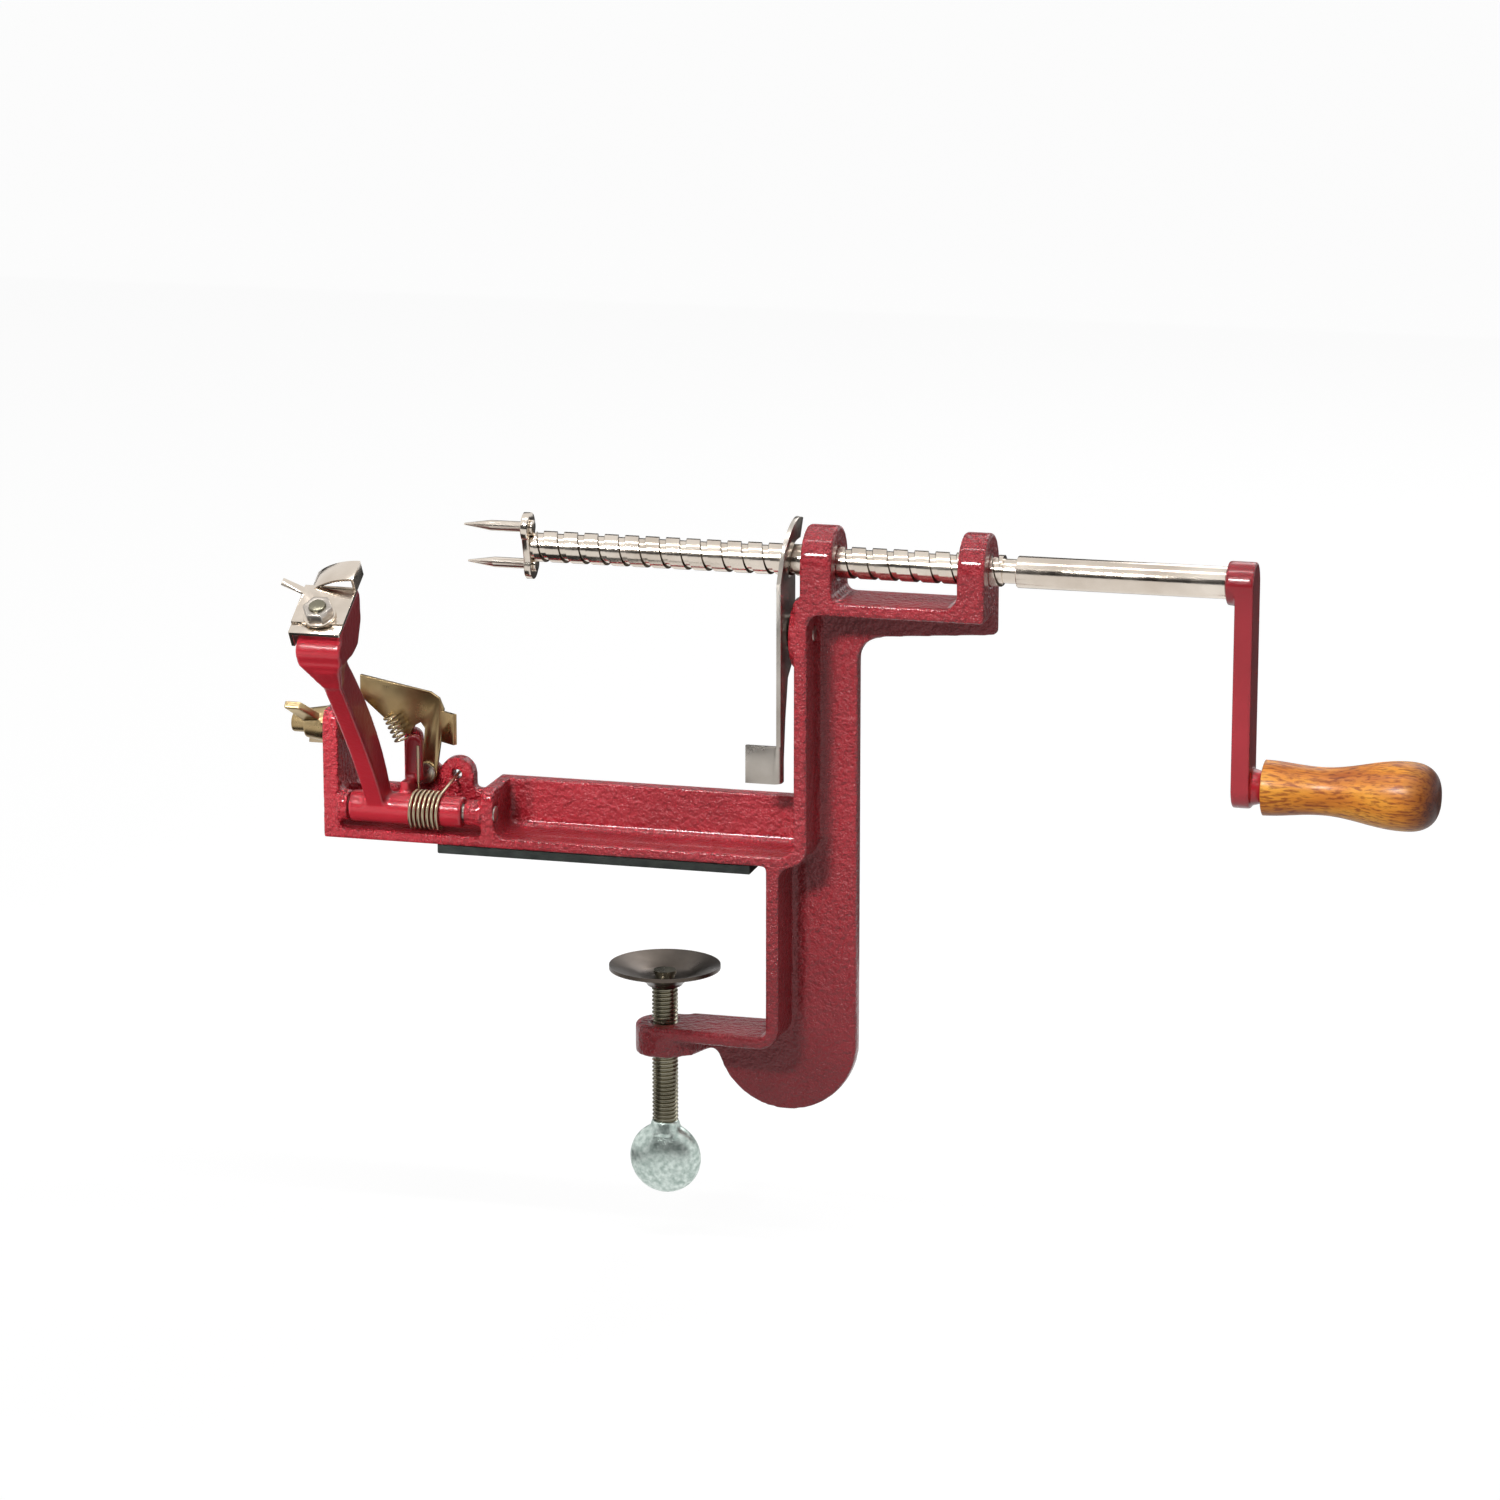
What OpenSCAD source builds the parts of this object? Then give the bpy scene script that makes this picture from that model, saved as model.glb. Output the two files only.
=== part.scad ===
// Hand-cranked apple peeler that clamps to a table edge.
// Origin: centre of the rubber pad's underside, where the frame sits on the table.
// +X runs along the feed rod towards the crank, +Y away from the user, +Z up. Millimetres.

/* [Table pad] */
// Length of the rubber pad under the base
pad_len = 98.5; // [70:0.5:110]
// Width of the rubber pad
pad_w = 20; // [14:0.5:22]
// Thickness of the rubber pad
pad_t = 3; // [2:0.25:5]

/* [Frame casting] */
// Depth of the casting from front to back
frame_depth = 22; // [21:0.5:26]
// Thickness of the web along the back of the casting
web_t = 5; // [4:0.25:6]
// Thickness of the base flange
base_t = 3.2; // [2.5:0.1:4]
// Thickness of the flanges along the column, beam and clamp
rib_t = 4; // [3:0.25:5]
// From the pad's centre to the outer face of the end plate
end_reach = 85.4; // [82:0.2:95]
// Thickness of the end plate
end_t = 5; // [4:0.25:6]
// Height of the end plate above the pad
end_h = 40; // [37:0.5:44]
// From the pad's centre to the face of the bulkhead that carries the arm shaft
bulkhead_reach = 35.2; // [33:0.2:37]
// Thickness of the bulkhead
bulkhead_t = 4.3; // [3:0.1:6]
// Height of the web beside the peeling arm, above the pad
bay_web_h = 13.6; // [11:0.2:14]
// Height of the web between bulkhead and column, above the pad
base_web_h = 18; // [15:0.5:24]
// From the pad's centre to the column's left face
column_reach = 62.8; // [60:0.2:68]
// Width of the column
column_w = 15.5; // [13:0.5:20]
// Height of the feed rod's axis above the table
rod_height = 95; // [90:0.5:105]
// From the rod's axis down to the top of the beam
beam_drop = 10.3; // [9:0.1:12]
// Depth of the beam beside the column
beam_h = 13.7; // [11:0.1:16]
// Depth of the beam at its free end
beam_end_h = 10.7; // [8:0.1:13]
// Length of the beam from the column's left face
beam_reach = 57.4; // [52:0.2:64]
// Radius of the two bearing lugs
lug_r = 11; // [9:0.25:13]
// Thickness of each bearing lug
lug_t = 8.2; // [6:0.2:10]
// From the column's left face to the left bearing lug
lug_inset = 1.7; // [1:0.1:4]

/* [Table clamp] */
// From the pad's centre to the inner wall of the clamp throat
throat_reach = 54.2; // [52:0.2:58]
// Height of the clamp mouth, from the pad down to the jaw
mouth_h = 50.5; // [48:0.5:60]
// Thickness of the jaw
jaw_t = 9.5; // [8:0.25:12]
// Radius of the jaw's round end
jaw_boss_r = 9; // [7.5:0.25:10.5]
// From the pad's centre to the clamp screw's axis
screw_reach = 19.8; // [15:0.2:26]
// Radius of the round bow below the jaw
bow_r = 22; // [20:0.25:23]
// From the jaw's top down to the lowest point of the bow
bow_drop = 27.2; // [25:0.1:30]
// Radius of the hollow between jaw and bow
bow_cove_r = 3; // [2:0.25:6]
// Diameter of the clamp screw
screw_d = 8; // [6:0.25:9]
// From the jaw's top up to the clamp disc's rim
disc_rise = 17.9; // [15:0.1:22]
// Radius of the clamp disc
disc_r = 17; // [13:0.25:20]
// Depth of the clamp disc from rim to neck
disc_depth = 6.4; // [5:0.1:9]
// Thickness of the clamp disc's sheet
disc_t = 1.2; // [0.8:0.1:1.8]
// From the jaw's underside down to the thumb knob
knob_drop = 22; // [18:0.5:30]
// Radius of the flat round thumb knob
knob_r = 11.2; // [9:0.1:14]
// Thickness of the thumb knob
knob_t = 7; // [5:0.25:9]

/* [Feed rod] */
// Diameter of the feed rod
rod_d = 9.5; // [8:0.1:11]
// Feed of the rod for one turn of the crank
thread_pitch = 6.35; // [5:0.05:8]
// Length of the threaded part
thread_len = 143.4; // [130:0.2:155]
// Width of the thread groove at the surface
groove_w = 1.9; // [1.6:0.1:2.4]
// Depth of the thread groove
groove_depth = 0.7; // [0.6:0.05:1]
// From the beam's end to the end of the thread
thread_past = 3.8; // [2:0.1:8]
// Length of the thin neck after the thread
neck_len = 4; // [2:0.2:8]
// Diameter of the neck
neck_d = 7.3; // [6.6:0.1:7.8]
// Length of the smooth sleeve
sleeve_len = 62.4; // [40:0.2:80]
// Diameter of the rod inside the sleeve and the crank
core_d = 6; // [5:0.1:6.4]

/* [Fork] */
// Height of the fork plate
fork_h = 20; // [16:0.5:26]
// Width of the fork plate's ends
fork_w = 9; // [7:0.25:12]
// Thickness of the fork plate
fork_t = 2; // [1.5:0.1:3]
// Length of the prongs beyond the fork plate
prong_len = 19; // [12:0.5:28]
// Diameter of a prong at its root
prong_d = 3.2; // [2.4:0.1:4]
// Turn of the fork about the rod
fork_turn = 16; // [0:1:90]
// Length of the collar between rod and fork plate
collar_len = 1.6; // [1:0.1:3]

/* [Crank] */
// From the rod's axis to the grip's axis
crank_throw = 60.5; // [45:0.5:80]
// Width of the crank arm
crank_w = 13; // [11:0.25:16]
// Thickness of the crank arm
crank_t = 5.5; // [4:0.1:8]
// Length of the crank's boss against the sleeve
crank_boss = 2.8; // [2:0.1:5]
// Length of the wooden grip
grip_len = 52; // [44:0.5:65]
// Largest diameter of the grip
grip_d = 20.5; // [17:0.1:26]
// Diameter of the grip's waist
grip_waist_d = 14.1; // [12:0.1:16]
// Diameter of the grip's inner end
grip_neck_d = 16.4; // [14:0.1:19]
// Diameter of the pin inside the grip
pin_d = 5; // [4:0.1:6]

/* [Release lever] */
// From the rod's axis down to the lever's pivot
lever_drop = 22; // [20:0.25:23]
// From the lever's pivot down to its lower end
lever_len = 44; // [38:0.5:50]
// Thickness of the lever's sheet
lever_t = 1.3; // [1:0.05:1.5]
// From the column's left face to the lever's boss face
lever_boss = 2; // [1:0.1:3]
// Radius of the lever's boss on the column
lever_boss_r = 10.8; // [8:0.1:11]
// Thickness of the spring washer behind the lever
washer_t = 1.4; // [0.8:0.1:2.5]
// Radius of the lever's round top about the rod's axis
lever_top_r = 13.2; // [12:0.1:15]
// Length of the thumb tab
tab_len = 9.5; // [6:0.25:12]
// Height of the thumb tab
tab_h = 11.5; // [8:0.25:15]

/* [Peeling arm] */
// From the casting's middle forward to the arm's pivot
arm_front = 8; // [7.6:0.1:8.6]
// From the base flange up to the arm's pivot
arm_rise = 6.8; // [6.6:0.1:8]
// Diameter of the arm's shaft
arm_shaft_d = 5; // [4:0.1:6]
// Radius of the arm's hub
hub_r = 4.8; // [4:0.1:5]
// Width of the arm's shank
shank_w = 6; // [5:0.2:8]
// From the pivot outward to the blade plate's centre
head_out = 42.7; // [38:0.1:47]
// From the pivot up to the blade plate's centre
head_up = 68.35; // [63:0.05:73]
// Slope of the blade plate
head_tilt = 32; // [24:0.5:40]
// Width of the blade plate
holder_w = 15.8; // [14:0.1:18]
// Length of the blade plate
holder_len = 18; // [16:0.1:21]
// Thickness of the blade plate
holder_t = 1.2; // [0.8:0.1:1.6]
// Radius of the blade's hoop
hoop_r = 21; // [19:0.1:22]
// Thickness of the blade
blade_t = 0.8; // [0.5:0.05:1.2]
// Wire diameter of the arm's spring
arm_wire = 0.95; // [0.7:0.05:1]
// Middle radius of the arm spring's coils
arm_coil_r = 5.65; // [5.6:0.05:5.8]
// Distance between the arm spring's coils
arm_coil_pitch = 1.42; // [1.4:0.01:1.6]

/* [Arm latch] */
// Thickness of the latch plate
latch_t = 1.5; // [1:0.05:1.6]
// Wire diameter of the latch spring
latch_wire = 0.7; // [0.5:0.05:0.8]
// Middle radius of the latch spring's coils
latch_coil_r = 1.85; // [1.7:0.05:2.1]
// Distance between the latch spring's coils
latch_coil_pitch = 1.5; // [1.3:0.05:1.7]

/* [Slicer bolt] */
// Height of the slicer bolt above the table
bolt_h = 36; // [34:0.5:38]
// Diameter of the slicer bolt
bolt_d = 6; // [5:0.1:8]
// Half the span of the wing nut
wing_reach = 13.6; // [11:0.2:17]

/* [Hidden] */
$fn = 64;

// Colours
red = [0.55, 0.08, 0.13];
rubber = [0.12, 0.13, 0.12];
steel = [0.75, 0.74, 0.72];
chrome = [0.85, 0.85, 0.87];
gold = [0.72, 0.60, 0.38];
gunmetal = [0.30, 0.28, 0.26];
zinc = [0.68, 0.72, 0.70];
oak = [0.72, 0.42, 0.16];

// Fits and small steps
run = 0.06;      // radial room of a shaft that turns or slides
gap = 0.3;       // room between pieces that pass each other
seat = 0.1;      // room between flat faces that turn on each other
lap = 0.1;       // overlap that joins two shapes of one piece
cove_r = 4;      // hollow fillets in the casting
corner_r = 7;    // round outer corner of the flange between throat and jaw

// Places along the frame
back_y = frame_depth / 2;
front_y = -back_y;
web_y = back_y - web_t;
base_top = pad_t + base_t;
end_x = -end_reach;
end_in = end_x + end_t;
bulk_x = -bulkhead_reach;
bulk_in = bulk_x + bulkhead_t;
col_x = column_reach;
col_right = col_x + column_w;
beam_top = rod_height - beam_drop;
beam_end = col_x + beam_reach;
lug_a = col_x + lug_inset;
lug_a_t = lug_t + 1.4;
lug_b = beam_end - lug_t;
jaw_top = -mouth_h;
jaw_low = jaw_top - jaw_t;
screw_x = screw_reach;
bow_x = col_right - bow_r;
bow_z = jaw_top - bow_drop + bow_r;
cove_rise = bow_z - jaw_low + bow_cove_r;
cove_run = sqrt(pow(bow_r + bow_cove_r, 2) - pow(cove_rise, 2));
cove_share = bow_r / (bow_r + bow_cove_r);
bow_cove_x = bow_x - cove_run;

// Peeling arm
arm_y = -arm_front;
arm_z = base_top + arm_rise;
end_boss = 3.1;
bulk_boss = 5.4;
hub_x = end_in + end_boss + gap;
hub_end = bulk_x - bulk_boss - gap;
hub_collar = 7.1;
spring_right = hub_end - hub_collar;
spring_lift = 8;
spring_from = 90 + spring_lift;
spring_turns = 7;
spring_to = 360 * spring_turns;
spring_left = spring_right - arm_coil_pitch * (spring_to - spring_from) / 360;
horn_t = 2.6;
horn_w = 5.5;
horn_h = 21.4;
horn_y = arm_y + arm_coil_r + arm_wire / 2 + seat;
horn_left = spring_left - horn_w + arm_wire;
foot_right = spring_left - arm_wire - gap;
foot_w = foot_right - horn_left;
foot_top = arm_coil_r + 2.4;
shank_x = horn_left - 5.9;
shank_left = shank_x - shank_w / 2;
shank_right = shank_x + shank_w / 2;
head_x = shank_x - 2.2;
head_y = arm_y - head_out;
head_z = arm_z + head_up;
head_left = -holder_w / 2 + holder_t + gap;
head_right = holder_w / 2 - gap;
cheek_h = 4.5;
cheek_len = holder_len - 1.6;
nose_r = 4.2;
nose_y = -holder_len / 2 + 1.4;
nose_z = -6.9;
stud_d = 5;
stud_x = 0.4;
stud_y = -2.5;
stud_depth = 7.7;
hoop_x = holder_w / 2 + 0.4;
hoop_z = holder_t + 5.5 - hoop_r;
hoop_y = holder_len / 2;
hoop_w = 8;

// Spring anchor ring and latch, on the web behind the arm
ring_x = spring_right;
ring_z = arm_z + arm_coil_r * sin(spring_from) + (web_y + web_t / 2 - arm_y) * tan(spring_lift) + 0.1;
ring_r = 5.4;
ring_hole_r = 1.5;
latch_y = web_y + seat * 2;
lug_y = latch_y + latch_t + seat * 3;
latch_x = ring_x - 9.8;
latch_z = pad_t + bay_web_h + 4.3;
latch_end_r = 3.4;
latch_rivet_r = 2;
latch_axis = [0.45, 0, -0.893];
latch_turns = 5;
latch_coil_y = latch_y - latch_coil_r - latch_wire - 0.6;
latch_coil_at = [latch_x - 10.5, latch_coil_y, latch_z + 17.8];
latch_coil_len = latch_coil_pitch * (latch_turns + 0.5);
post_x = latch_coil_at[0] + latch_axis[0] * latch_coil_len + latch_coil_r;
post_z = latch_coil_at[2] + latch_axis[2] * latch_coil_len;
post_r = 3;

// Release lever
lever_pivot_h = rod_height - lever_drop;
lever_right = col_x - lever_boss - washer_t - seat;
lever_left = lever_right - lever_t;
lever_bend_z = rod_height - 5;
lever_lean = 8;
lever_front = -12.4;
lever_back = 5;
lever_neck = 7;
lever_rivet_r = 2.5;
fold_r = 2.4;
tooth_x = lever_left + lever_t / 2 + (rod_height - lever_bend_z) * tan(lever_lean);
tooth_w = 1;
helix = atan(thread_pitch / (PI * (rod_d - groove_depth)));
root_r = rod_d / 2 - groove_depth;
notch_r = rod_d / 2 + 1.45;

// Small cast pip on the column, below the lever's boss
pip_r = 2.7;
pip_t = 0.9;
pip_y = -3;
pip_z = lever_pivot_h - 17.8;

// Feed rod, crank and grip
thread_end = beam_end + thread_past;
thread_start = thread_end - thread_len;
sleeve_x = thread_end + neck_len + seat;
sleeve_end = sleeve_x + sleeve_len;
crank_x = sleeve_end + seat;
crank_arm_x = crank_x + crank_boss;
crank_end = crank_arm_x + crank_t;
grip_boss = 3.3;
grip_boss_r = 4.75;
grip_x = crank_end + grip_boss + seat;
grip_z = rod_height - crank_throw;
fork_right = thread_start - collar_len;
fork_left = fork_right - fork_t;
lobe_z = fork_h / 2 - fork_w / 2 + 0.7;

// Clamp
disc_rim_z = jaw_top + disc_rise;
disc_neck_z = disc_rim_z - disc_depth;
disc_hub_r = screw_d / 2 + 1.3;
tip_d = screw_d - 2;
knob_top = jaw_low - knob_drop;
knob_neck = 2.2;
knob_z = knob_top - knob_neck - sqrt(pow(knob_r, 2) - pow(disc_hub_r, 2));

// Slicer bolt
wing_washer_t = 1.2;
wing_x = end_x - wing_washer_t - 2 * seat;
wing_hub_t = 7;
wing_angle = 144;

// Extrudes an outline of the X-Z plane along Y, from y0 to y1
module along_y(y0, y1) {
    translate([0, y1, 0]) rotate([90, 0, 0]) linear_extrude(y1 - y0) children();
}

// Extrudes an outline of the Y-Z plane along X, from x0 to x1
module along_x(x0, x1) {
    translate([x0, 0, 0]) rotate([90, 0, 90]) linear_extrude(x1 - x0) children();
}

// Round bar along X
module bar_x(x0, x1, y, z, r) {
    translate([x0, y, z]) rotate([0, 90, 0]) cylinder(r = r, h = x1 - x0);
}

// Round bar along Y
module bar_y(y0, y1, x, z, r) {
    translate([x, y1, z]) rotate([90, 0, 0]) cylinder(r = r, h = y1 - y0);
}

// Rectangle between two corners
module box2(x0, z0, x1, z1) {
    translate([x0, z0]) square([x1 - x0, z1 - z0]);
}

// Rectangle with its two upper corners rounded
module round_top(x0, z0, x1, z1, r) {
    box2(x0, z0, x1, z1 - r);
    box2(x0 + r, z0, x1 - r, z1);
    translate([x0 + r, z1 - r]) circle(r);
    translate([x1 - r, z1 - r]) circle(r);
}

// Hollow fillet in the corner at x, z that opens towards the signs sx, sz
module cove(x, z, r, sx, sz) {
    translate([x, z]) mirror([sx < 0 ? 1 : 0, 0]) mirror([0, sz < 0 ? 1 : 0]) difference() {
        translate([-lap, -lap]) square(r + lap);
        translate([r, r]) circle(r);
    }
}

// Ring of points round each point of a path, for a wire whose coils turn about axis
function unit(v) = v / norm(v);
function path_way(path, i) = unit(path[min(i + 1, len(path) - 1)] - path[max(i - 1, 0)]);
function wire_ring(p, way, axis, r, sides) =
    let (u = unit(cross(way, axis)), w = cross(u, way))
    [for (k = [0 : sides - 1]) p + r * (cos(360 * k / sides) * u + sin(360 * k / sides) * w)];

// Closed tube along a path
module wire(path, axis, r, sides = 6) {
    rings = len(path);
    points = [for (i = [0 : rings - 1]) each wire_ring(path[i], path_way(path, i), axis, r, sides)];
    walls = [
        for (i = [0 : rings - 2], k = [0 : sides - 1])
        let (a = i * sides + k, b = i * sides + (k + 1) % sides)
        each [[a, a + sides, b + sides], [a, b + sides, b]]
    ];
    first = [for (k = [1 : sides - 2]) [0, k, k + 1]];
    base = (rings - 1) * sides;
    last = [for (k = [1 : sides - 2]) [base, base + k + 1, base + k]];
    polyhedron(points, concat(walls, first, last));
}

// Least gap between points of a wire that lie more than half a turn apart
function wire_gap(path, r, apart) =
    min([for (i = [0 : len(path) - 1], j = [i + apart : 1 : len(path) - 1]) norm(path[i] - path[j])]) - 2 * r;

// Enamelled iron frame: base, end plate, column, beam with two bearing lugs, and the C of the clamp
module frame_web() {
    box2(end_x, pad_t, bulk_in, pad_t + bay_web_h);
    box2(bulk_x, pad_t, col_x + lap, pad_t + base_web_h);
    box2(col_x, pad_t - lap, col_right, beam_top);
    box2(throat_x(), bow_z, col_right, base_top);
    polygon([
        [col_x, beam_top], [beam_end, beam_top], [beam_end, beam_top - beam_end_h],
        [col_right, beam_top - beam_h], [col_x, beam_top - beam_h]
    ]);
    cove(col_right, beam_top - beam_h + lap, cove_r * 1.75, 1, -1);
    intersection() {
        translate([bow_x, bow_z]) circle(bow_r);
        box2(bow_x - bow_r, bow_z - bow_r, bow_x + bow_r, bow_z);
    }
    box2(screw_x + jaw_boss_r * 0.6, jaw_low, bow_x, jaw_top);
    difference() {
        polygon([
            [bow_cove_x, jaw_low + lap], [bow_cove_x, jaw_low], [bow_x - cove_run * cove_share, bow_z - cove_rise * cove_share],
            [bow_x, bow_z]
        ]);
        translate([bow_cove_x, jaw_low - bow_cove_r]) circle(bow_cove_r);
    }
}

function throat_x() = throat_reach;

module frame_flanges() {
    box2(end_x, pad_t, col_x + rib_t, base_top);
    box2(col_x, pad_t, col_x + rib_t, beam_top);
    box2(col_x, beam_top - rib_t, beam_end, beam_top);
    box2(throat_x(), jaw_top - rib_t, throat_x() + rib_t, base_top);
    cove(col_x + rib_t, beam_top - rib_t, cove_r, 1, -1);
    cove(throat_x(), jaw_top, cove_r / 2, -1, 1);
    cove(throat_x() + rib_t, pad_t, cove_r, 1, -1);
}

module bearing_lug(x0, t) {
    bar_x(x0, x0 + t, 0, rod_height, lug_r);
    along_x(x0, x0 + t) box2(-lug_r, beam_top - rib_t, lug_r, rod_height);
}

module frame_casting() {
    color(red) difference() {
        union() {
            along_y(web_y, back_y) frame_web();
            along_y(front_y, back_y) frame_flanges();
            along_x(end_x, end_in) round_top(front_y, pad_t, back_y, pad_t + end_h, cove_r);
            along_x(bulk_x, bulk_in) round_top(front_y, pad_t, back_y, pad_t + base_web_h, cove_r);
            bearing_lug(lug_a, lug_a_t);
            bearing_lug(lug_b, lug_t);
            bar_x(col_x - lever_boss, col_x + lap, 0, lever_pivot_h, lever_boss_r);
            bar_x(col_x - pip_t, col_x + lap, pip_y, pip_z, pip_r);
            bar_x(end_in - lap, end_in + end_boss, arm_y, arm_z, hub_r);
            bar_x(bulk_x - bulk_boss, bulk_x + lap, arm_y, arm_z, hub_r - 0.8);
            translate([0, 0, jaw_top - rib_t]) linear_extrude(rib_t) polygon([
                [screw_x, -jaw_boss_r], [throat_x() + lap, front_y], [throat_x() + lap, back_y], [screw_x, jaw_boss_r]
            ]);
            translate([screw_x, 0, jaw_low]) cylinder(r = jaw_boss_r, h = jaw_t);
            bar_y(web_y, back_y, ring_x, ring_z, ring_r);
            along_y(web_y, back_y) box2(ring_x - ring_r, pad_t, ring_x + ring_r, ring_z);
            bar_y(lug_y, back_y, latch_x, latch_z, latch_end_r + 0.6);
            along_y(lug_y, back_y) box2(latch_x - latch_end_r, pad_t, latch_x + latch_end_r, latch_z);
            bar_y(lug_y, back_y, post_x, post_z, post_r);
            along_y(lug_y, back_y) box2(post_x - post_r, pad_t, post_x + post_r, post_z);
        }
        along_y(front_y - lap, web_y) cove(throat_x() + rib_t, jaw_top - rib_t, corner_r, -1, 1);
        bar_x(lug_a - lap, beam_end + lap, 0, rod_height, rod_d / 2 + run);
        translate([screw_x, 0, jaw_low - lap]) cylinder(r = screw_d / 2 + run, h = jaw_t + 2 * lap);
        bar_x(end_x - lap, end_in + end_boss + lap, arm_y, arm_z, arm_shaft_d / 2);
        bar_x(bulk_x - bulk_boss - lap, bulk_in + lap, arm_y, arm_z, arm_shaft_d / 2);
        bar_x(col_x - lever_boss - lap, col_x + rib_t + lap, 0, lever_pivot_h, lever_rivet_r);
        bar_x(end_x - lap, end_in + lap, 0, bolt_h, bolt_d / 2);
        bar_y(web_y - lap, back_y + lap, ring_x, ring_z, ring_hole_r);
        bar_y(lug_y - lap, back_y + lap, latch_x, latch_z, latch_rivet_r);
    }
}

// Rubber pad glued under the base
module table_pad() {
    color(rubber) translate([-pad_len / 2, -pad_w / 2, 0]) cube([pad_len, pad_w, pad_t]);
}

// Steel pin that the peeling arm swings on
module arm_shaft() {
    color(steel) bar_x(end_x, bulk_in, arm_y, arm_z, arm_shaft_d / 2);
}

// Headed rivet that carries the release lever
module lever_rivet() {
    color(steel) {
        bar_x(lever_left - seat - 1.6, lever_left - seat, 0, lever_pivot_h, lever_rivet_r + 1.7);
        bar_x(lever_left - seat - lap, col_x + rib_t, 0, lever_pivot_h, lever_rivet_r);
    }
}

// Spring washer between the lever and its boss
module lever_washer() {
    color(steel) difference() {
        bar_x(lever_right + seat, col_x - lever_boss, 0, lever_pivot_h, lever_rivet_r + 2.6);
        bar_x(lever_right, col_x, 0, lever_pivot_h, lever_rivet_r + run);
    }
}

// Rivet that carries the latch
module latch_rivet() {
    color(steel) {
        bar_y(latch_y - seat - 1.2, latch_y - seat, latch_x, latch_z, latch_rivet_r + 1.2);
        bar_y(latch_y - seat - lap, back_y, latch_x, latch_z, latch_rivet_r);
    }
}

// Round-headed bolt through the end plate for the slicing blade
module slicer_bolt() {
    color(gold) {
        bar_x(end_in, end_in + 2.2, 0, bolt_h, bolt_d * 0.85);
        bar_x(wing_x - wing_hub_t - 4.5, end_in + lap, 0, bolt_h, bolt_d / 2);
    }
}

// Places children on the blade plate: X across, Y up the slope towards the rod, Z out of the plate
module at_head() {
    translate([head_x, head_y, head_z]) rotate([head_tilt, 0, 0]) children();
}

// Block across the head, between two distances along the slope and two depths
module head_block(half_w, y0, y1, z0, z1) {
    translate([-half_w, y0, z0]) cube([2 * half_w, y1 - y0, z1 - z0]);
}

// Points of a smooth bend from a to c that is pulled towards b
function bend(a, b, c, n = 8) =
    [for (i = [0 : n]) let (t = i / n) (1 - t) * (1 - t) * a + 2 * t * (1 - t) * b + t * t * c];

// Place on the head's slope, seen from the arm's pivot
function head_point(y, z) = [
    -head_out + y * cos(head_tilt) - z * sin(head_tilt),
    head_up + y * sin(head_tilt) + z * cos(head_tilt)
];

// Side outline of the curved shank, with its top inside the head
module shank_outline() {
    front_foot = [-hub_r + 0.3, 1];
    back_foot = [hub_r, -1];
    polygon(concat(
        bend(front_foot, [-14, 17], head_point(-holder_len * 0.7, -11.3)),
        [head_point(0, nose_z)],
        bend(head_point(-1.6, -17.1), [-3.5, 25], back_foot)
    ));
}

// Side outline of the head, with a round nose below the plate's front edge
module head_outline() {
    translate([nose_y, nose_z]) circle(nose_r);
    polygon([
        [nose_y, nose_z + nose_r], [-4, 0], [holder_len * 0.7, 0], [holder_len * 0.73, -2.8], [9.4, -10.2],
        [3.2, -14.5], [-2, -13.9], [nose_y - 2.2, nose_z - 3.5]
    ]);
}

// Enamelled arm: hub, curved shank, head for the blade and the horn that the spring pushes
module peel_arm() {
    root_h = hub_r * 0.85;
    inset = 0.25;
    flare_h = 7;
    color(red) difference() {
        union() {
            bar_x(hub_x, hub_end, arm_y, arm_z, hub_r);
            translate([0, arm_y, arm_z]) along_x(shank_left, shank_right) shank_outline();
            at_head() along_x(head_left, head_right) head_outline();
            at_head() along_y(nose_y - 2.4, -2.5) polygon([
                [head_left + inset, nose_z - 3], [head_right - inset, nose_z - 3],
                [shank_right - head_x - inset, nose_z - 3 - flare_h], [shank_left - head_x + inset, nose_z - 3 - flare_h]
            ]);
            translate([horn_left + inset, arm_y, arm_z - root_h + inset])
                cube([foot_w - inset, horn_y + horn_t - inset - arm_y, root_h + foot_top]);
            along_y(horn_y, horn_y + horn_t)
                round_top(horn_left, arm_z + arm_coil_r + 1.2, horn_left + horn_w, arm_z + horn_h, horn_w / 2 - lap);
        }
        bar_x(hub_x - lap, hub_end + lap, arm_y, arm_z, arm_shaft_d / 2 + run);
        at_head() translate([stud_x, stud_y, -stud_depth]) cylinder(r = stud_d / 2, h = stud_depth + lap);
    }
}

// Bright sheet plate on the arm's head, with one edge folded down
module blade_holder() {
    half = holder_w / 2;
    color(chrome) at_head() difference() {
        union() {
            head_block(half, -holder_len / 2, holder_len / 2, 0, holder_t);
            translate([-half, -holder_len / 2, -cheek_h]) cube([holder_t, cheek_len, cheek_h + lap]);
        }
        translate([stud_x, stud_y, -lap]) cylinder(r = stud_d / 2, h = holder_t + 2 * lap);
    }
}

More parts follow.
